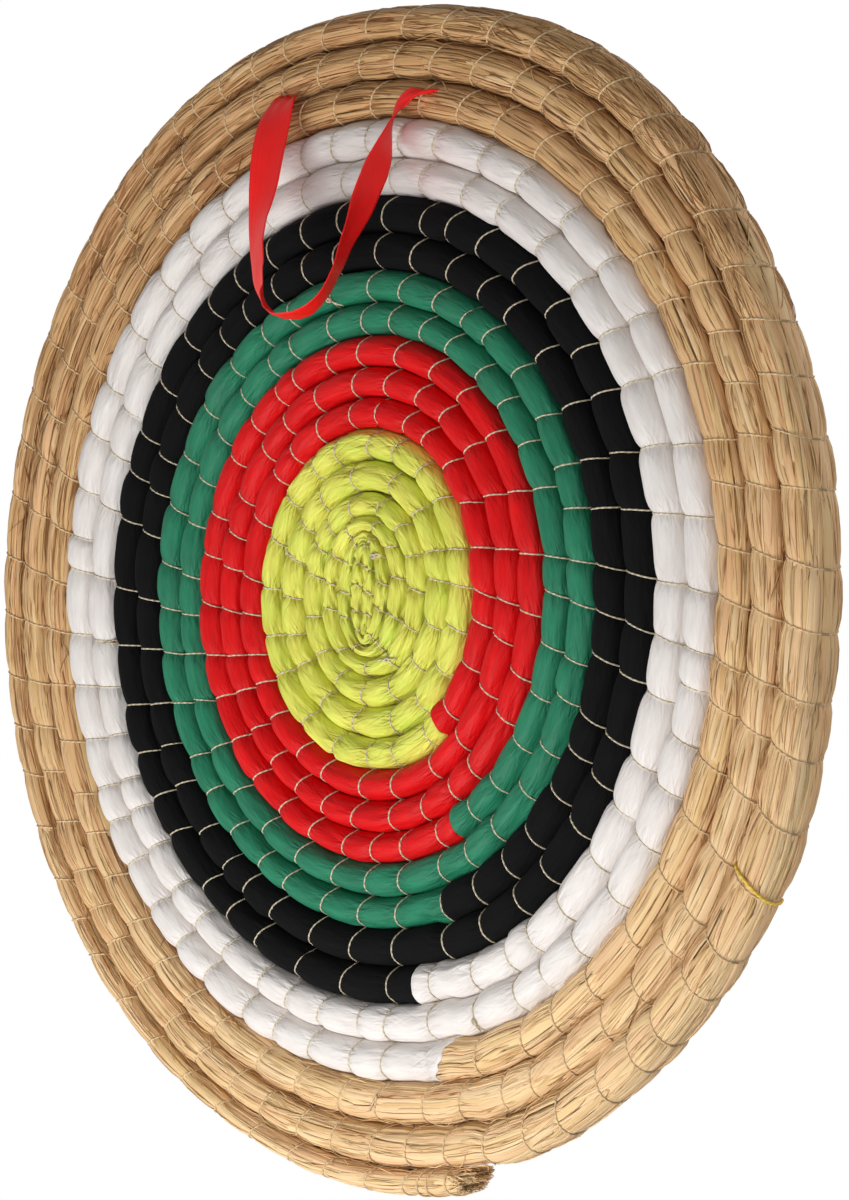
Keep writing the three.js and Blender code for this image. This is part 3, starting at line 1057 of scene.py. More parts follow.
@dataclass
class ClothWrap:
    """One length of cloth wound on the rope, with its creases and its two cut ends.

    The steps and drops of its lips, which turn in behind the cut ends, are counted in lips.
    """

    stretch: Stretch
    start: float
    stop: float
    surface: RopeSurface
    finish: ClothFinish
    end: ClothEnd
    around: int = 48
    hem: float = 0.55 * MM
    hem_length: float = 3.2 * MM
    lip: float = 1.0 * MM
    lip_steps: tuple[float, ...] = (4.0, 0.2, 0.0, 0.25)
    lip_drops: tuple[float, ...] = (-1.0, -1.0, -0.45, 0.0)
    shares: tuple[float, ...] = (0.0, 0.04, 0.1, 0.18, 0.28, 0.39, 0.5, 0.61, 0.72, 0.82, 0.9, 0.96)
    fold_waves: tuple[int, ...] = (7, 10, 13, 17)
    fold_sizes: tuple[float, float] = (0.2, 1.0)
    fold_reach: float = 0.3
    fold_height: float = 0.4 * MM
    creases: int = 5
    crease_depth: float = 0.6 * MM
    crease_slope: float = 0.9
    crease_spread: float = 0.17
    crease_fading: float = 0.6
    pressed_share: float = 0.06
    gather_share: float = 0.25
    middle_crumple: float = 1.3
    middle_length: float = 260.0 * MM
    girth_share: float = 0.85

    def rows(self) -> tuple[np.ndarray, np.ndarray]:
        """The lengths at which the cloth has a ring of points, and their lift.

        Returns:
            The lengths and the lifts. The first and last few turn in behind the cut ends.
        """
        lengths = self.surface.stations(self.shares)
        inside = lengths[(lengths > self.start + self.lip) & (lengths < self.stop - self.lip)]
        steps = np.array(self.lip_steps) * self.lip
        drops = np.array(self.lip_drops) * self.lip
        rings = np.concatenate([self.start + steps, inside, self.stop - steps[::-1]])
        return rings, np.concatenate([drops, np.zeros(len(inside)), drops[::-1]])

    def folds(self, lengths: np.ndarray, angles: np.ndarray) -> np.ndarray:
        """How far the cloth stands up or sinks in its folds.

        Args:
            lengths: lengths along the rope.
            angles: angles round the section.

        Returns:
            The height of the folds at each place.
        """
        surface, crumple = self.surface, self.finish.crumple
        rng = np.random.default_rng(surface.seed + len(self.stretch.cover.value))
        count = len(surface.stitches) + 2
        index, share = surface.between(lengths)
        height = np.zeros(np.broadcast(lengths, angles).shape)
        widest = self.fold_waves[0]
        for waves in self.fold_waves:
            phase = rng.uniform(0, math.tau, count + 1)
            sizes = rng.uniform(*self.fold_sizes, count + 1)
            sizes = sizes * self.fold_height * crumple * widest / waves
            for at, passed in ((index, share), (index + 1, 1 - share)):
                height += sizes[at] * bell(passed, self.fold_reach) * np.cos(waves * angles + phase[at])
        for _ in range(self.creases):
            middle = rng.uniform(0, math.tau, count)[index]
            slope = rng.uniform(-self.crease_slope, self.crease_slope, count)[index]
            depth = rng.uniform(0.0, 1.0, count)[index] * self.crease_depth * crumple
            away = np.angle(np.exp(1j * (angles - middle - slope * (share - 0.5))))
            fading = np.sin(math.pi * share) ** self.crease_fading
            height -= depth * bell(away, self.crease_spread) * fading
        pressed = 1 - bell(to_nearer_end(share), self.pressed_share)
        return height * pressed * (1 + self.middle_crumple * bell(lengths, self.middle_length))

    def build(self) -> bpy.types.Object:
        """Builds the wrap.

        Returns:
            The piece.
        """
        lengths, lifts = self.rows()
        name = self.stretch.cover.value
        grid, row, column = add_grid(f"{name}_cloth", len(lengths), self.around + 1)
        angles = angles_round(column, self.around)
        at = lengths[row]
        raised = lifts[row] + self.hem * bell(at - self.start, self.hem_length)
        near = np.clip(1 - (self.stop - at) / self.end.length, 0, 1)
        raised += self.end.rise * np.clip(near * 3, 0, 1)
        at = at - self.end.slant * near * np.cos(angles)
        at = at + self.end.fray * self.end.tattered(angles) * near**4
        height = self.folds(at, angles) * np.where(lifts[row] < 0, 0.0, 1.0)
        set_points(grid, self.surface.points(at, angles, raised + height))
        girth = 2 * (self.stretch.width + self.surface.line.depth) * self.girth_share
        set_map(grid, np.stack([at, column / self.around * girth], axis=-1))
        _, share = self.surface.between(at)
        set_number(grid, "gather", bell(to_nearer_end(share), self.gather_share))
        close_tube(grid)
        return finish_piece(grid, self.finish.material(), f"{name}_cloth", (f"{name}_wrap",))


@dataclass(frozen=True)
class LeafKind:
    """One kind of straw on the rope: how many, how long, how wide and how far it stands up.

    The length is counted in spaces between stitches, and the width of the leaves in lanes is
    counted in lanes. Drift is how far a leaf turns round the rope, in radians.
    """

    count: int
    spaces: tuple[int, int]
    width: tuple[float, float]
    lift: tuple[float, float]
    drift: float
    tone: float
    spread: float


@dataclass
class Leaf:
    """One leaf: where it lies, its width and its lift at each of its rows, and its colour."""

    at: np.ndarray
    angle: np.ndarray
    width: np.ndarray
    lift: np.ndarray
    tone: float
    hue: float


@dataclass
class BareRope:
    """The bare straw outside the wraps: a core painted dark as the shade under and between the leaves,
    and the flat leaves laid along it.

    Angles round the rope are in radians, apart from the two between which the coil is messy.
    Ranges of chance for frayed leaves and for the tuft are in millimetres where they are lengths.
    """

    start: float
    surface: RopeSurface
    core_shade_finish: StrawFinish
    leaf_finish: StrawFinish
    around: int = 28
    seed: int = 31
    run_in: float = 18.0 * MM
    core_sink: float = 1.0 * MM
    core_gap: float = 19.0 * MM
    cut_back: float = 13.5 * MM
    cut_slant: float = 1.0 * MM
    cut_unevenness: float = 2.5 * MM
    lanes: int = 17
    lane_kind: LeafKind = LeafKind(
        count=0,
        spaces=(2, 7),
        width=(1.15, 1.9),
        lift=(-0.5 * MM, -0.05 * MM),
        drift=0.22,
        tone=0.62,
        spread=0.13,
    )
    loose_kind: LeafKind = LeafKind(
        count=1500,
        spaces=(1, 5),
        width=(1.0 * MM, 4.2 * MM),
        lift=(-0.2 * MM, 0.12 * MM),
        drift=0.3,
        tone=0.64,
        spread=0.13,
    )
    thin_kind: LeafKind = LeafKind(
        count=1900,
        spaces=(1, 3),
        width=(0.25 * MM, 0.75 * MM),
        lift=(-0.05 * MM, 0.2 * MM),
        drift=0.28,
        tone=0.58,
        spread=0.19,
    )
    frayed_kind: LeafKind = LeafKind(
        count=520,
        spaces=(1, 2),
        width=(0.3 * MM, 0.8 * MM),
        lift=(0.0, 0.9 * MM),
        drift=0.5,
        tone=0.4,
        spread=0.22,
    )
    tuft_kind: LeafKind = LeafKind(
        count=560,
        spaces=(1, 2),
        width=(0.5 * MM, 1.6 * MM),
        lift=(-7.5 * MM, 0.0),
        drift=0.2,
        tone=0.62,
        spread=0.24,
    )
    messy_kind: LeafKind = LeafKind(
        count=420,
        spaces=(1, 3),
        width=(0.25 * MM, 0.9 * MM),
        lift=(0.0, 0.5 * MM),
        drift=0.9,
        tone=0.5,
        spread=0.24,
    )
    messy_angles: tuple[float, float] = (24.0, 76.0)
    leaf_thickness: float = 0.22 * MM
    leaf_across: tuple[float, ...] = (-0.5, -0.27, 0.27, 0.5)
    least_radius: float = 3.0 * MM
    groove_shade: float = 0.4
    painted_light_side: tuple[float, float] = (0.09, -0.26)
    paler: float = 0.03
    leaf_pieces_wanted: int = 8
    least_rows: int = 4
    core_tuck: tuple[float, float] = (1.0 * MM, 1.5 * MM)
    core_step: float = 2.6 * MM
    core_shade_tone: float = 0.25
    core_hue: float = 0.5
    wander: float = 0.03
    wander_waves: tuple[float, float] = (1.0, 3.0)
    tip_width: float = 0.35
    tip_growth: float = 5.0
    tip_share: float = 0.08
    tip_sink: float = 0.3 * MM
    pressed_lift: float = 0.3
    darkest: float = 0.05
    lane_wander: float = 0.12
    lane_start: int = 8
    lane_overlap: int = 3
    leaf_start: float = 0.8
    face_spread: float = 1.15
    outer_spread: float = 0.9
    frayed_length: tuple[float, float] = (8.0, 30.0)
    frayed_angles: tuple[float, float] = (0.75, 1.25)
    frayed_arch: tuple[float, float] = (0.1, 1.0)
    frayed_rows: int = 8
    tuft_reach: tuple[float, float] = (-3.0, 1.2)
    tuft_root: float = 14.0 * MM
    tuft_spread: float = 0.35
    tuft_rows: int = 9
    core_shares: tuple[float, ...] = (0.0, 0.06, 0.2, 0.5, 0.8, 0.94)
    leaf_shares: tuple[float, ...] = (0.0, 0.07, 0.22, 0.5, 0.78, 0.93)

    def stations(self, shares: tuple[float, ...], start: float) -> np.ndarray:
        """Lengths at the same shares of every space between stitches, from a start on."""
        lengths = self.surface.stations(shares)
        return np.append(lengths[lengths > start], self.surface.line.length)

    def core(self) -> bpy.types.Object:
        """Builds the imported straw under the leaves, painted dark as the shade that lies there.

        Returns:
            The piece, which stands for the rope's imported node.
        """
        lengths = self.stations(self.core_shares, self.start - self.run_in)
        lengths = lengths[lengths < self.surface.line.length - self.core_gap]
        grid, row, column = add_grid("straw_core", len(lengths), self.around + 1)
        angles = angles_round(column, self.around)
        at = lengths[row]
        length, drop = self.core_tuck
        inside = np.where(at < self.start + length, drop, 0.0)
        set_points(grid, self.surface.points(at, angles, -self.core_sink - inside))
        set_map(grid, np.stack([at, column * self.core_step], axis=-1))
        # A low tone paints the core dark, as the shade under the leaves.
        set_number(grid, "tone", np.full(len(row), self.core_shade_tone))
        set_number(grid, "hue", np.full(len(row), self.core_hue))
        close_tube(grid)
        return finish_piece(grid, self.core_shade_finish.material(), "straw", ("straw_rope",))

    def leaf(self, rng: np.random.Generator, kind: LeafKind, rows: np.ndarray, angle: float) -> Leaf:
        """Describes one leaf.

        Args:
            rng: the source of chance.
            kind: the kind of leaf.
            rows: the lengths at which it has points.
            angle: its mean angle round the rope.

        Returns:
            The leaf.
        """
        share = np.linspace(0, 1, len(rows))
        wander = rng.normal(0, self.wander) * np.sin(share * math.pi * rng.uniform(*self.wander_waves))
        bend = rng.normal(0, kind.drift) * (share - 0.5)
        taper = np.minimum(1.0, self.tip_width + self.tip_growth * to_nearer_end(share))
        full = np.clip(self.surface.bulge(rows), 0, 1)
        lift = rng.uniform(*kind.lift) * (self.pressed_lift + (1 - self.pressed_lift) * full)
        tips = (share < self.tip_share) | (share > 1 - self.tip_share)
        return Leaf(
            at=rows,
            angle=angle + wander + bend,
            width=rng.uniform(*kind.width) * taper,
            lift=lift - np.where(tips, self.tip_sink, 0.0),
            tone=float(np.clip(rng.normal(kind.tone, kind.spread), self.darkest, 1.0)),
            hue=float(rng.uniform()),
        )

    def kept(self, rng: np.random.Generator, rows: np.ndarray, angle: float) -> np.ndarray:
        """Cuts a leaf's rows off at the rope's slanted, uneven end.

        Args:
            rng: the source of chance.
            rows: the lengths at which the leaf has points.
            angle: its angle round the rope.

        Returns:
            The rows that stay.
        """
        slant = self.cut_slant * (1 + math.cos(angle)) + rng.uniform(0, self.cut_unevenness)
        return rows[rows < self.surface.line.length - self.cut_back - slant]

    def lane_leaves(self, rng: np.random.Generator, stations: np.ndarray) -> list[Leaf]:
        """Lays leaves end to end in lanes round the rope, so that they cover it.

        Args:
            rng: the source of chance.
            stations: the lengths at which leaves have points.

        Returns:
            The leaves.
        """
        per_space = len(self.leaf_shares)
        leaves = []
        for lane in range(self.lanes):
            first = -int(rng.integers(0, self.lane_start * per_space))
            while first < len(stations) - 2:
                count = int(rng.integers(*self.lane_kind.spaces)) * per_space
                overlap = int(rng.integers(self.lane_overlap, per_space + self.lane_overlap))
                rows = stations[max(first, 0) : first + count + overlap]
                first += count
                angle = (lane + rng.normal(0, self.lane_wander)) * math.tau / self.lanes
                rows = self.kept(rng, rows, angle)
                if len(rows) < self.least_rows:
                    continue
                leaf = self.leaf(rng, self.lane_kind, rows, angle)
                leaf.width = leaf.width * self.section_radius(rows, leaf.angle) * math.tau / self.lanes
                leaves.append(leaf)
        return leaves

    def loose_leaves(self, rng: np.random.Generator, stations: np.ndarray) -> list[Leaf]:
        """Lays narrower leaves at random over the others, most of them on the two faces.

        Args:
            rng: the source of chance.
            stations: the lengths at which leaves have points.

        Returns:
            The leaves.
        """
        per_space = len(self.leaf_shares)
        outermost = int(np.searchsorted(stations, self.surface.line.last_round))
        everywhere = (-2 * per_space, len(stations) - self.least_rows)
        messy = tuple(self.station_near(stations, angle) for angle in self.messy_angles)
        leaves = []
        for kind in (self.loose_kind, self.thin_kind, self.messy_kind):
            limits = messy if kind is self.messy_kind else everywhere
            for _ in range(kind.count):
                first = int(rng.integers(*limits))
                count = int(rng.integers(*kind.spaces)) * per_space
                angle = rng.choice([-1, 1]) * math.pi / 2
                angle += rng.uniform(-self.face_spread, self.face_spread)
                if first > outermost:
                    angle = rng.uniform(-math.pi * self.outer_spread, math.pi * self.outer_spread)
                rows = self.kept(rng, stations[max(first, 0) : first + count], angle)
                if len(rows) >= self.least_rows:
                    leaves.append(self.leaf(rng, kind, rows, angle))
        return leaves

    def station_near(self, stations: np.ndarray, angle: float) -> int:
        """The number of the station at an angle round the coil, in the outermost round."""
        line = self.surface.line
        return int(np.searchsorted(stations, float(line.length_at(line.outer_turn(angle)))))

    def frayed_leaves(self, rng: np.random.Generator, stations: np.ndarray) -> list[Leaf]:
        """Lays thin broken bits of straw along the grooves.

        Args:
            rng: the source of chance.
            stations: the lengths at which leaves have points.

        Returns:
            The leaves.
        """
        leaves = []
        for _ in range(self.frayed_kind.count):
            start = rng.uniform(stations[0], stations[-1])
            stop = start + rng.uniform(*self.frayed_length) * MM
            rows = np.linspace(start, stop, self.frayed_rows)
            side = -1 if start > self.surface.line.last_round else rng.choice([-1, 1])
            angle = -math.pi / 2 + side * rng.uniform(*self.frayed_angles)
            leaf = self.leaf(rng, self.frayed_kind, np.minimum(rows, stations[-1]), angle)
            arch = np.sin(np.linspace(0, math.pi, len(rows)))
            leaf.lift = leaf.lift + arch * rng.uniform(*self.frayed_arch) * MM
            leaves.append(leaf)
        return leaves

    def tuft(self, rng: np.random.Generator) -> list[Leaf]:
        """Lays the leaf tips that stick out of the rope's cut end.

        Args:
            rng: the source of chance.

        Returns:
            The leaves.
        """
        leaves = []
        end = self.surface.line.length
        for _ in range(self.tuft_kind.count):
            angle = rng.uniform(0, math.tau)
            reach = rng.uniform(*self.tuft_reach) * MM - self.cut_back
            tip = end + (reach - self.cut_slant * math.cos(angle))
            rows = np.linspace(end - self.core_gap - self.tuft_root, tip, self.tuft_rows)
            leaf = self.leaf(rng, self.tuft_kind, rows, angle)
            share = np.linspace(0, 1, len(rows))
            leaf.angle = leaf.angle + rng.normal(0, self.tuft_spread) * share**3
            leaves.append(leaf)
        return leaves

    def leaf_pieces(self) -> list[bpy.types.Object]:
        """Builds the leaves, a few hundred to a piece.

        Returns:
            The pieces.
        """
        rng = np.random.default_rng(self.seed)
        stations = self.stations(self.leaf_shares, self.start - self.leaf_start * self.run_in)
        chosen = self.lane_leaves(rng, stations) + self.loose_leaves(rng, stations)
        chosen += self.frayed_leaves(rng, stations) + self.tuft(rng)
        material = self.leaf_finish.material()
        limits = np.linspace(stations[0], stations[-1] + MM, self.leaf_pieces_wanted + 1)
        pieces = []
        for number, (low, high) in enumerate(zip(limits[:-1], limits[1:]), 1):
            mine = [leaf for leaf in chosen if low <= leaf.at[0] < high]
            pieces.append(self.leaf_mesh(f"straw_leaves_{number}", mine))
            finish_piece(pieces[-1], material, "straw")
        return pieces

    def leaf_mesh(self, name: str, leaves: list[Leaf]) -> bpy.types.Object:
        """Builds one piece of many leaves, each a thin closed strip with a flat top.

        Args:
            name: the piece's name.
            leaves: the leaves.

        Returns:
            The piece.
        """
        points, faces, flats, tones, hues = [], [], [], [], []
        first = 0
        across = np.array(self.leaf_across)
        corners = len(across)
        raised = np.array([0.0, 1.0, 1.0, 0.0]) * self.leaf_thickness
        for leaf in leaves:
            rows = len(leaf.at)
            radius = self.section_radius(leaf.at, leaf.angle)
            angle = leaf.angle[:, None] + across * (leaf.width / radius)[:, None]
            at = np.repeat(leaf.at[:, None], corners, axis=1)
            points.append(self.surface.points(at, angle, leaf.lift[:, None] + raised).reshape(-1, 3))
            flat = np.stack([at, across * leaf.width[:, None] + first * MM], axis=-1)
            flats.append(flat.reshape(-1, 2))
            tones.append((leaf.tone + self.shade_of(leaf.at, angle)).ravel())
            hues.append(np.full(rows * corners, leaf.hue))
            ring = first + np.arange(rows - 1)[:, None] * corners
            corner, ahead = ring + np.arange(corners), ring + (np.arange(corners) + 1) % corners
            strips = np.stack([corner, ahead, ahead + corners, corner + corners], axis=-1)
            faces.append(strips.reshape(-1, 4))
            end = first + (rows - 1) * corners
            faces.append(np.array([first + np.arange(corners)[::-1], end + np.arange(corners)]))
            first += rows * corners
        thing = mesh_from(name, np.concatenate(points), np.concatenate(faces))
        set_map(thing, np.concatenate(flats))
        set_number(thing, "tone", np.concatenate(tones))
        set_number(thing, "hue", np.concatenate(hues))
        return thing

    def shade_of(self, lengths: np.ndarray, angles: np.ndarray) -> np.ndarray:
        """How much the straw's tone is painted lighter or darker as light and shade, by where it lies
        on the coil and as shadow in its grooves.

        Args:
            lengths: the length along the rope of each row.
            angles: the angle round the rope of each point in each row.

        Returns:
            What is added to the tone of each point.
        """
        # Painted shadow in the grooves between rounds, with none on the outermost round's outer side.
        # Painted light makes the straw paler towards the right of the coil, darker towards its top, and
        # paler all over by a little.
        shadow = self.groove_shade * np.abs(np.cos(angles)) ** 5
        outer = (lengths > self.surface.line.last_round)[:, None] & (np.cos(angles) > 0)
        side = self.surface.line.at(lengths).out @ np.array(self.painted_light_side) + self.paler
        return side[:, None] - np.where(outer, 0.0, shadow)

    def section_radius(self, lengths: np.ndarray, angles: np.ndarray) -> np.ndarray:
        """How far a place on the section moves for each radian round it.

        Args:
            lengths: lengths along the rope.
            angles: angles round the section.

        Returns:
            The distances.
        """
        nudge = 0.02
        near, _, _ = self.surface.section(lengths, angles - nudge)
        far, _, _ = self.surface.section(lengths, angles + nudge)
        moved = np.linalg.norm(far - near, axis=-1) / (2 * nudge)
        return np.maximum(moved, self.least_radius)


@dataclass
class Stitching:
    """The twine that sews the rounds together: a loop round the rope at every stitch."""

    surface: RopeSurface
    finish: TwineFinish
    diameter: float = 0.74 * MM
    segments: int = 22
    sides: int = 6
    seat: float = 0.28 * MM
    lean: float = 0.6 * MM
    from_end: float = 45.0 * MM
    seed: int = 19

    def loop_of(self, at: float, lean: float) -> tuple[np.ndarray, np.ndarray]:
        """One loop of twine round the rope.

        Args:
            at: the length along the rope.
            lean: how far its outer side is ahead of its inner side.

        Returns:
            The points, and their flat places on the twine.
        """
        angles = angles_round(np.arange(self.segments), self.segments)
        section, normals, lay = self.surface.section(np.full(self.segments, at), angles)
        middle = self.surface.placed(lay, section + normals * self.seat)
        run = np.stack([lay.run[:, 0], np.zeros(self.segments), lay.run[:, 1]], axis=-1)
        middle = middle + run * (lean * np.cos(angles))[:, None]
        outward = lay.out * normals[:, :1]
        raised = np.stack([outward[:, 0], normals[:, 1], outward[:, 1]], axis=-1)
        turn = angles_round(np.arange(self.sides), self.sides)
        radius = self.diameter / 2
        ring = run[:, None, :] * np.cos(turn)[:, None] + raised[:, None, :] * np.sin(turn)[:, None]
        points = middle[:, None, :] + ring * radius
        along = length_along(middle)[:, None] + at
        flat = np.stack(np.broadcast_arrays(along, turn * radius), axis=-1)
        return points.reshape(-1, 3), flat.reshape(-1, 2)

    def ring_faces(self) -> np.ndarray:
        """The faces of one loop.

        Returns:
            One row of four point numbers per face.
        """
        segment, side = np.meshgrid(np.arange(self.segments), np.arange(self.sides), indexing="ij")
        here, ahead = segment * self.sides, (segment + 1) % self.segments * self.sides
        up = (side + 1) % self.sides
        return np.stack([here + side, ahead + side, ahead + up, here + up], axis=-1).reshape(-1, 4)

    def build(self, name: str, start: float, stop: float) -> bpy.types.Object:
        """Builds the stitches of one stretch as a piece.

        Args:
            name: the piece's name.
            start: the length where the stretch starts.
            stop: the length where it stops.

        Returns:
            The piece.
        """
        rng = np.random.default_rng(self.seed)
        leans = rng.normal(0, self.lean, len(self.surface.stitches))
        points, flats, faces = [], [], []
        ring = self.ring_faces()
        stop = min(stop, self.surface.line.length - self.from_end)
        for at, lean in zip(self.surface.stitches, leans):
            if start <= at < stop:
                loop, flat = self.loop_of(at, lean)
                faces.append(ring + len(loop) * len(points))
                points.append(loop)
                flats.append(flat)
        thing = mesh_from(name, np.concatenate(points), np.concatenate(faces))
        set_map(thing, np.concatenate(flats))
        return finish_piece(thing, self.finish.material(), "twine")


@dataclass
class Strand:
    """A thin cord along a row of points, swept as a closed tube with rounded ends."""

    name: str
    diameter: float
    finish: TwineFinish
    slot: str
    sides: int = 8
    tip_share: float = 0.5
    first_side: tuple[float, float, float] = (0.31, 0.87, 0.39)

    def swept(self, path: np.ndarray) -> bpy.types.Object:
        """Builds the cord.

        Args:
            path: one row of X, Y and Z for each point.

        Returns:
            The object, before its finish.
        """
        grid, row, column = add_grid(self.name, len(path), self.sides + 1)
        run = heading_along(path)
        side = np.zeros_like(run)
        side[0] = np.cross(run[0], self.first_side)
        side[0] /= np.linalg.norm(side[0])
        for index in range(1, len(path)):
            kept = side[index - 1] - run[index] * (side[index - 1] @ run[index])
            side[index] = kept / np.linalg.norm(kept)
        other = np.cross(run, side)
        turn = angles_round(column, self.sides)
        radius = np.full(len(path), self.diameter / 2)
        radius[[0, -1]] *= self.tip_share
        ring = side[row] * np.cos(turn)[:, None] + other[row] * np.sin(turn)[:, None]
        set_points(grid, path[row] + ring * radius[row][:, None])
        around = column * math.pi * self.diameter / self.sides
        set_map(grid, np.stack([length_along(path)[row], around], axis=-1))
        close_tube(grid)
        return grid

    def build(self, path: np.ndarray, replaced: tuple[str, ...] = ()) -> bpy.types.Object:
        """Builds the cord along a path and dresses it."""
        return finish_piece(self.swept(path), self.finish.material(), self.slot, replaced)


@dataclass
class RopeEnd:
    """What holds the outer end of the rope: turns of twine, and a golden tie further back."""

    surface: RopeSurface
    twine: TwineFinish
    gold: TwineFinish
    turns: float = 3.0
    whipped: float = 25.8 * MM
    widening: float = 1.7
    last_share: float = 0.85
    from_end: float = 13.3 * MM
    twine_points: int = 85
    twine_seat: float = 0.42 * MM
    twine_diameter: float = 0.9 * MM
    tie_points: int = 48
    tie_seat: float = 0.75 * MM
    tie_angle: float = -25.9
    tie_diameter: float = 1.25 * MM
    tie_start: float = 0.94
    tie_stop: float = 0.3
    tie_rise: float = 3.1 * MM
    tie_bend: float = 0.7

    def whipping(self) -> bpy.types.Object:
        """Builds the turns of twine round the rope's end.

        Returns:
            The piece.
        """
        share = np.linspace(0, self.last_share, self.twine_points)
        stop = self.surface.line.length - self.from_end
        lengths = stop - self.whipped * (1 - share**self.widening)
        angles = share * self.turns * math.tau + math.pi
        path = self.surface.points(lengths, angles, np.full(len(share), self.twine_seat))
        cord = Strand("end_twine", self.twine_diameter, self.twine, "twine")
        return cord.build(path, ("end_whipping",))

    def tie(self) -> bpy.types.Object:
        """Builds the golden tie over the outermost round.

        Returns:
            The piece.
        """
        line = self.surface.line
        share = np.linspace(0, 1, self.tie_points)
        angles = math.pi * (self.tie_stop - (self.tie_start + self.tie_stop) * (1 - share))
        rise = self.tie_rise * np.sin(share * math.pi / self.tie_bend)
        lengths = float(line.length_at(line.outer_turn(self.tie_angle))) + rise
        path = self.surface.points(lengths, angles, np.full(len(angles), self.tie_seat))
        cord = Strand("golden_tie", self.tie_diameter, self.gold, "gold_tie")
        return cord.build(path, ("tie_band",))


@dataclass
class TwineKnot:
    """One knot in the sewing twine, where a length ends and the next begins, with its two tails."""

    turn: float
    angle: float
    heading: float
    surface: RopeSurface
    finish: TwineFinish
    diameter: float = 0.8 * MM
    radius: float = 1.1 * MM
    loops: float = 2.0
    loop_points: int = 26
    tail_points: int = 6
    flatness: float = 0.7
    tail_ends: tuple[tuple[float, float], ...] = ((-7.5 * MM, -1.2), (5.0 * MM, 1.8))
    lifts: tuple[tuple[float, float], ...] = ((0.15, 0.5), (0.5, 1.3), (1.1, 0.6))
    reach: float = 8.0 * MM

    def flat_path(self) -> np.ndarray:
        """The knot's path on a flat face: tail, tight loops, tail.

        Returns:
            One row per point, along and across the rope.
        """
        turn = np.linspace(0.0, self.loops * math.tau, self.loop_points)
        loop = self.radius * np.stack([np.cos(turn), np.sin(turn) * self.flatness], axis=1)
        start, stop = ((along, across * self.radius) for along, across in self.tail_ends)
        first = np.linspace(start, loop[0], self.tail_points + 1)[:-1]
        last = np.linspace(loop[-1], stop, self.tail_points + 1)[1:]
        return np.concatenate([first, loop, last])

    def build(self, name: str) -> bpy.types.Object:
        """Builds the knot as one short cord.

        Args:
            name: the piece's name.

        Returns:
            The piece.
        """
        flat = self.flat_path()
        counts = (self.tail_points, self.loop_points, self.tail_points)
        spans = zip(self.lifts, counts)
        lift = np.concatenate([np.linspace(*ends, count) * self.radius for ends, count in spans])
        cosine, sine = math.cos(self.heading), math.sin(self.heading)
        along = flat[:, 0] * cosine - flat[:, 1] * sine
        across = flat[:, 0] * sine + flat[:, 1] * cosine
        stitches = self.surface.stitches
        middle = stitches[np.argmin(np.abs(stitches - self.surface.line.length_at(self.turn)))]
        angles = math.radians(self.angle) + across / self.reach
        path = self.surface.points(middle + along, angles, lift)
        return Strand(name, self.diameter, self.finish, "twine", 6).build(path)


@dataclass(frozen=True)
class RibbonPoint:
    """One point on the ribbon's middle line, in millimetres, with its twist and its width."""

    x: float
    y: float
    z: float
    twist: float
    width: float = 15.0
    tilt: float = 0.0


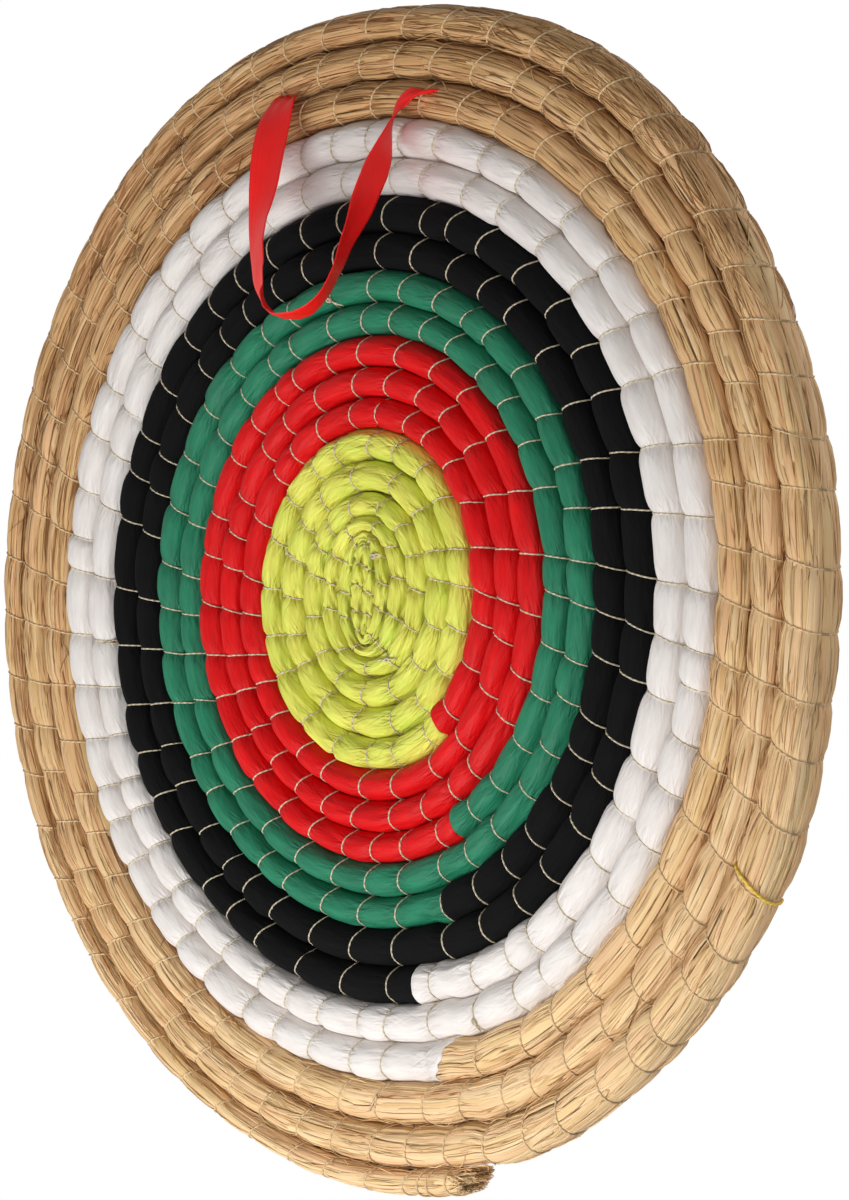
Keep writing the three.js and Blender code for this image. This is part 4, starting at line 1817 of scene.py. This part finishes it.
@dataclass
class HangingRibbon:
    """One satin ribbon: both ends are tucked into a groove and the rest hangs as a loop.

    The turns of its pleats, its cup and its ripples are radians for each metre along it.
    """

    finish: SatinFinish
    points: tuple[RibbonPoint, ...] = (
        RibbonPoint(-56.0, -10.0, 211.0, 0.0, 8.5),
        RibbonPoint(-55.4, -20.0, 213.0, 0.0, 9.5),
        RibbonPoint(-53.2, -26.0, 210.8, 0.0, 12.0),
        RibbonPoint(-51.4, -30.5, 205.3, -10.0, 14.6),
        RibbonPoint(-50.2, -34.0, 199.6, -24.0),
        RibbonPoint(-48.9, -37.0, 193.1, -26.0),
        RibbonPoint(-47.4, -40.0, 185.1, -24.0),
        RibbonPoint(-45.0, -44.0, 171.4, -13.0),
        RibbonPoint(-43.4, -48.2, 156.6, 13.0),
        RibbonPoint(-40.1, -52.0, 144.7, 23.0),
        RibbonPoint(-33.6, -56.4, 132.4, 26.5),
        RibbonPoint(-23.6, -61.2, 121.0, 40.0, 15.0, 3.0),
        RibbonPoint(-14.2, -64.2, 115.8, 60.0, 15.0, 5.0),
        RibbonPoint(-4.7, -66.0, 113.6, 77.0, 15.0, 6.0),
        RibbonPoint(5.2, -66.7, 114.4, 67.0, 15.0, 4.0),
        RibbonPoint(13.0, -66.4, 117.6, 58.0, 15.0, 2.0),
        RibbonPoint(18.6, -65.0, 122.6, 56.0, 15.0, 1.0),
        RibbonPoint(21.0, -61.0, 132.8, 56.0),
        RibbonPoint(20.4, -55.0, 145.9, 62.0),
        RibbonPoint(21.2, -48.0, 160.7, 86.0),
        RibbonPoint(22.2, -41.4, 175.3, 87.0),
        RibbonPoint(22.3, -37.6, 182.6, 76.0),
        RibbonPoint(22.0, -34.6, 188.9, 60.0),
        RibbonPoint(21.0, -31.6, 194.8, 46.0, 14.0),
        RibbonPoint(21.0, -29.4, 200.6, 28.0, 11.0),
        RibbonPoint(23.2, -28.0, 204.8, 6.0, 9.0),
        RibbonPoint(29.2, -27.4, 207.2, 0.0, 8.5),
        RibbonPoint(35.0, -24.6, 208.2, 0.0, 8.0),
        RibbonPoint(36.5, -18.0, 208.4, 0.0, 7.5),
        RibbonPoint(36.7, -10.0, 207.8, 0.0, 7.0),
    )
    width: float = 15.0 * MM
    thickness: float = 0.35 * MM
    rows: int = 190
    columns: int = 13
    rounding: float = 2.2 * MM
    cup: float = 0.7 * MM
    ripple: float = 0.22 * MM
    pleat: float = 1.5 * MM
    bend_zone: tuple[float, float] = (7.0 * MM, 5.0 * MM)
    end_rounding: float = 0.3
    pleats: float = 2.2
    pleat_turn: float = 60.0
    cup_rest: float = 0.4
    cup_turn: float = 34.0
    ripple_turns: tuple[float, float, float] = (150.0, 5.0, 63.0)

    def stations(self) -> tuple[np.ndarray, np.ndarray]:
        """Even stations along the ribbon.

        Returns:
            Rows of X, Y, Z, twist, width and tilt, and the length along the ribbon at each.
        """
        table = np.array([[p.x, p.y, p.z, p.twist, p.width, p.tilt] for p in self.points])
        table[:, [0, 1, 2, 4]] *= MM
        table[:, [3, 5]] = np.radians(table[:, [3, 5]])
        marks = length_along(table[:, :3])
        fine = np.linspace(0, marks[-1], self.rows)
        straight = np.stack([np.interp(fine, marks, column) for column in table.T], axis=1)
        away = fine[:, None] - fine[None, :]
        from_end = np.minimum(fine, fine[-1] - fine)[:, None]
        reach = np.minimum(self.rounding, self.end_rounding * from_end + MM * MM)
        weight = np.exp(-0.5 * (away / reach) ** 2)
        rounded = weight @ straight / weight.sum(axis=1, keepdims=True)
        return rounded, length_along(rounded[:, :3])

    def strip(self) -> tuple[bpy.types.Object, float]:
        """Builds the twisting strip.

        Returns:
            The strip with its thickness, and its length.
        """
        table, along = self.stations()
        middle, twist, widths, tilt = table[:, :3], table[:, 3], table[:, 4], table[:, 5]
        run = heading_along(middle)
        level = np.cos(tilt)
        across = np.stack([np.cos(twist) * level, -np.sin(twist) * level, np.sin(tilt)], axis=1)
        across -= run * np.sum(across * run, axis=1)[:, None]
        across /= np.linalg.norm(across, axis=1)[:, None]
        face = np.cross(run, across)
        grid, row, column = add_grid("hanging_ribbon", len(middle), self.columns)
        share = column / (self.columns - 1) - 0.5
        at = along[row]
        narrow = 1 - widths / self.width
        fold = np.cos(share * math.tau * self.pleats + at * self.pleat_turn) * narrow[row] * self.pleat
        cupped = (share**2 * 4 - self.cup_rest) * self.cup * np.sin(at * self.cup_turn)
        turn, slant, beat = self.ripple_turns
        waves = self.ripple * np.sin(at * turn + share * slant) * np.cos(at * beat)
        points = middle[row] + across[row] * (share * widths[row])[:, None]
        set_points(grid, points + face[row] * (fold + cupped + waves)[:, None])
        set_map(grid, np.stack([at, share * self.width], axis=-1))
        select_only(grid)
        thick = grid.modifiers.new("thickness", "SOLIDIFY")
        thick.thickness = self.thickness
        thick.offset = 0.0
        bpy.ops.object.modifier_apply(modifier=thick.name)
        return grid, float(along[-1])

    def build(self) -> bpy.types.Object:
        """Returns:
            The piece.
        """
        ribbon, length = self.strip()
        nodes = ("ribbon_left_end", "ribbon_right_end", "ribbon_loop")
        finish_piece(ribbon, self.finish.material(), "red_satin", nodes)
        log.info("ribbon %.1f mm long", length / MM)
        reach = Vector((0.0, *self.bend_zone))
        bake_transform(ribbon)
        return ribbon


CLOTHS = {
    Cover.YELLOW: ClothFinish(
        "yellow_cloth",
        colour=(0.88, 0.88, 0.165),
        shade=(0.52, 0.46, 0.05),
        other=(0.69, 0.82, 0.13),
        roughness=0.55,
        gloss=0.2,
        crumple=1.8,
    ),
    Cover.RED: ClothFinish(
        "red_cloth",
        colour=(0.80, 0.009, 0.010),
        shade=(0.42, 0.002, 0.003),
        other=(0.70, 0.004, 0.007),
        roughness=0.5,
        gloss=0.16,
        crumple=0.9,
    ),
    Cover.GREEN: ClothFinish(
        "green_cloth",
        colour=(0.024, 0.240, 0.125),
        shade=(0.007, 0.085, 0.045),
        other=(0.030, 0.205, 0.112),
        roughness=0.5,
        gloss=0.16,
        crumple=1.0,
    ),
    Cover.BLACK: ClothFinish(
        "black_cloth",
        colour=(0.0078, 0.0078, 0.0082),
        shade=(0.0035, 0.0035, 0.004),
        other=(0.0066, 0.0066, 0.007),
        roughness=0.85,
        gloss=0.05,
        crumple=0.8,
    ),
    Cover.WHITE: ClothFinish(
        "white_cloth",
        colour=(0.86, 0.82, 0.785),
        shade=(0.64, 0.575, 0.54),
        other=(0.83, 0.785, 0.755),
        roughness=0.6,
        gloss=0.2,
        crumple=0.9,
    ),
}
TWINE = TwineFinish("sewing_twine", (0.76, 0.67, 0.50), (0.46, 0.37, 0.24))
STRAW_TWINE = TwineFinish("straw_twine", (0.78, 0.58, 0.35), (0.50, 0.345, 0.185))
LEAF = StrawFinish("straw_leaf", (0.30, 0.14, 0.05), (0.66, 0.415, 0.20), (0.84, 0.62, 0.36))
# A shaded copy of the straw: painted shade for the core seen between the leaves and in the grooves.
SHADED_CORE = StrawFinish("straw_core", (0.13, 0.06, 0.022), (0.27, 0.14, 0.055), (0.42, 0.25, 0.11))
GOLD = TwineFinish("golden_cord", (0.95, 0.68, 0.12), (0.70, 0.42, 0.05))
SATIN = SatinFinish("red_satin", (1.0, 0.02, 0.018), (0.88, 0.01, 0.01))
# Each knot's turn along the rope and its angle on the face, in degrees, and its heading in radians.
KNOT_PLACES = (
    (3738.0, -115.0, 0.5),
    (5011.5, -68.0, 1.4),
    (4909.5, -142.0, 0.9),
    (1641.0, -55.0, 1.2),
    (5715.0, -100.0, 1.7),
    (1060.0, -80.0, 0.3),
    (420.0, -95.0, 1.0),
)
SEAM_AHEAD = 7.5 * MM
WHITE_END = ClothEnd(slant=6.0 * MM, rise=0.6 * MM, fray=0.8 * MM)
STRAW_TWINE_DIAMETER = 0.96 * MM
STRAW_TWINE_SEAT = 0.45 * MM


@dataclass(frozen=True)
class Lamp:
    """One soft square lamp: where it stands, what it faces, its side and its power in watts."""

    name: str
    place: tuple[float, float, float]
    aim: tuple[float, float, float]
    size: float
    power: float

    def build(self) -> None:
        """Adds the lamp, which the camera doesn't see."""
        data = bpy.data.lights.new(self.name, "AREA")
        data.size = self.size
        data.energy = self.power
        thing = bpy.data.objects.new(self.name, data)
        bpy.context.scene.collection.objects.link(thing)
        thing.visible_camera = False
        thing.location = self.place
        thing.rotation_mode = "QUATERNION"
        ahead = Vector(self.aim) - Vector(self.place)
        thing.rotation_quaternion = ahead.to_track_quat("-Z", "Y")


@dataclass
class Studio:
    """The camera at the photograph's viewing angle, soft lamps, and a pale floor."""

    eye: tuple[float, float, float] = (1.240, -1.168, 0.0247)
    azimuth: float = 46.43
    elevation: float = 0.96
    roll: float = 0.92
    lens: float = 119.76
    sensor: float = 36.0
    clip: tuple[float, float] = (0.05, 50.0)
    lamps: tuple[Lamp, ...] = (
        Lamp("key", (-0.03, -0.82, -0.67), (0.0, 0.0, -0.08), 0.6, 9.0),
        Lamp("left", (-0.9, -1.1, -1.3), (0.0, 0.0, -0.1), 1.2, 4.0),
        Lamp("right", (1.4, -0.9, 0.1), (0.0, 0.0, 0.0), 1.2, 8.5),
        Lamp("back", (0.6, 2.2, 1.0), (0.0, 0.0, 0.0), 1.6, 24.0),
    )
    world_level: float = 0.17
    white: tuple[float, ...] = (1.0, 1.0, 1.0, 1.0)
    pale: tuple[float, ...] = (0.9, 0.9, 0.9, 1.0)
    floor_drop: float = 1.15
    floor_radius: float = 2.2
    floor_corners: int = 96
    floor_fade: tuple[float, float] = (0.5, 1.6)

    def camera(self) -> None:
        """Makes the camera and makes it the scene's own."""
        data = bpy.data.cameras.new("camera")
        data.lens = self.lens
        data.sensor_width = self.sensor
        data.clip_start, data.clip_end = self.clip
        thing = bpy.data.objects.new("camera", data)
        bpy.context.scene.collection.objects.link(thing)
        azimuth, elevation = math.radians(self.azimuth), math.radians(self.elevation)
        level = math.cos(elevation)
        ahead = Vector((-math.sin(azimuth) * level, math.cos(azimuth) * level, -math.sin(elevation)))
        right = ahead.cross(Vector((0.0, 0.0, 1.0))).normalized()
        above = right.cross(ahead)
        roll = math.radians(self.roll)
        rolled_right = right * math.cos(roll) + above * math.sin(roll)
        rolled_above = above * math.cos(roll) - right * math.sin(roll)
        axes = Matrix((rolled_right, rolled_above, -ahead)).transposed()
        thing.matrix_world = Matrix.Translation(self.eye) @ axes.to_4x4()
        bpy.context.scene.camera = thing

    @staticmethod
    def seen(nodes: Nodes) -> Value:
        """Tells what the eye sees from what lights the part.

        Args:
            nodes: the tree that needs to know.

        Returns:
            1 where a ray comes from the camera, a reflection or a clear surface, and 0 elsewhere.
        """
        value = nodes.node("ShaderNodeLightPath", {}, {}, "Is Camera Ray")
        for ray in ("Is Glossy Ray", "Is Transmission Ray"):
            value = nodes.math("MAXIMUM", value, nodes.node("ShaderNodeLightPath", {}, {}, ray))
        return value

    def world(self) -> None:
        """Sets a plain white world that lights the part softly and shows white behind it."""
        world = bpy.data.worlds.new("plain_world")
        bpy.context.scene.world = world
        world.use_nodes = True
        nodes = Nodes(world.node_tree)
        levels = (self.world_level, 1.0)
        dim, bright = (
            nodes.node("ShaderNodeBackground", {}, {"Color": self.white, "Strength": level})
            for level in levels
        )
        values = {0: self.seen(nodes), 1: dim, 2: bright}
        nodes.end("ShaderNodeOutputWorld", nodes.node("ShaderNodeMixShader", {}, values))

    def floor(self) -> None:
        """Adds a round pale floor well below the part, which fades to white at its edge."""
        select_only()
        bpy.ops.mesh.primitive_circle_add(
            vertices=self.floor_corners,
            radius=self.floor_radius,
            fill_type="NGON",
            location=(0.0, 0.0, -self.floor_drop),
        )
        floor = bpy.context.object
        floor.name = "floor"
        material = bpy.data.materials.new("pale_floor")
        material.use_nodes = True
        nodes = Nodes(material.node_tree)
        place = nodes.node("ShaderNodeTexCoord", {}, {}, "Object")
        away = nodes.node("ShaderNodeVectorMath", {"operation": "LENGTH"}, {0: place}, "Value")
        near, far = self.floor_fade
        edges = {"Value": away, "From Min": near, "From Max": far}
        faded = nodes.node("ShaderNodeMapRange", {}, edges, "Result") * self.seen(nodes)
        matt = nodes.node("ShaderNodeBsdfDiffuse", {}, {"Color": self.pale})
        glow = nodes.node("ShaderNodeEmission", {}, {})
        mixed = nodes.node("ShaderNodeMixShader", {}, {0: faded, 1: matt, 2: glow})
        nodes.end("ShaderNodeOutputMaterial", mixed)
        floor.data.materials.append(material)
        floor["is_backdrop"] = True

    def build(self) -> None:
        """Builds the studio and sets the view's transform."""
        bpy.context.scene.view_settings.view_transform = "Standard"
        self.camera()
        self.world()
        for lamp in self.lamps:
            lamp.build()
        self.floor()


def write_sizes(low: tuple, high: tuple, new_low: tuple, new_high: tuple) -> None:
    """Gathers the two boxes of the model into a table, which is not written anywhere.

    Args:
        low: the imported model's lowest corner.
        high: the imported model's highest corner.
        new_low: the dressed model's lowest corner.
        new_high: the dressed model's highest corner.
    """
    boxes = {"cad": [list(low), list(high)], "visual": [list(new_low), list(new_high)]}


def rope_pieces(surface: RopeSurface) -> list[bpy.types.Object]:
    """Builds all that covers the rope: cloth, bare straw, stitches, ties and knots.

    Args:
        surface: the rope's outside.

    Returns:
        The pieces.
    """
    marks = surface.line.length_at(np.concatenate([[0.0], STRETCH_ENDS]))
    marks[1:-1] += SEAM_AHEAD
    pieces = []
    for number, stretch in enumerate(STRETCHES):
        start, stop = float(marks[number]), float(marks[number + 1])
        if stretch.cover is Cover.BARE:
            bare = BareRope(start, surface, SHADED_CORE, LEAF)
            pieces.append(bare.core())
            pieces.extend(bare.leaf_pieces())
            sewing = Stitching(surface, STRAW_TWINE, STRAW_TWINE_DIAMETER, seat=STRAW_TWINE_SEAT)
        else:
            end = WHITE_END if stretch.cover is Cover.WHITE else ClothEnd()
            wrap = ClothWrap(stretch, start, stop, surface, CLOTHS[stretch.cover], end)
            pieces.append(wrap.build())
            sewing = Stitching(surface, TWINE)
        pieces.append(sewing.build(f"{stretch.cover.value}_stitches", start, stop))
    rope_end = RopeEnd(surface, STRAW_TWINE, GOLD)
    pieces.extend([rope_end.whipping(), rope_end.tie()])
    for number, (turn, angle, heading) in enumerate(KNOT_PLACES, 1):
        finish = STRAW_TWINE if turn > BARE_START else TWINE
        knot = TwineKnot(turn, angle, heading, surface, finish)
        pieces.append(knot.build(f"twine_knot_{number}"))
    return pieces


def main() -> None:
    """Builds the target's looks piece by piece."""
    logging.basicConfig(level=logging.INFO, format="%(message)s")
    low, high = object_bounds()
    Studio().build()
    line = CoilLine()
    surface = RopeSurface(line)
    log.info("rope %.2f m, %d stitches", line.length, len(surface.stitches))
    for piece in rope_pieces(surface):
        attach(piece, "coil")
    HangingRibbon(SATIN).build()
    write_sizes(tuple(low), tuple(high), *(tuple(corner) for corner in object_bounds()))


if __name__ == "__main__":
    main()
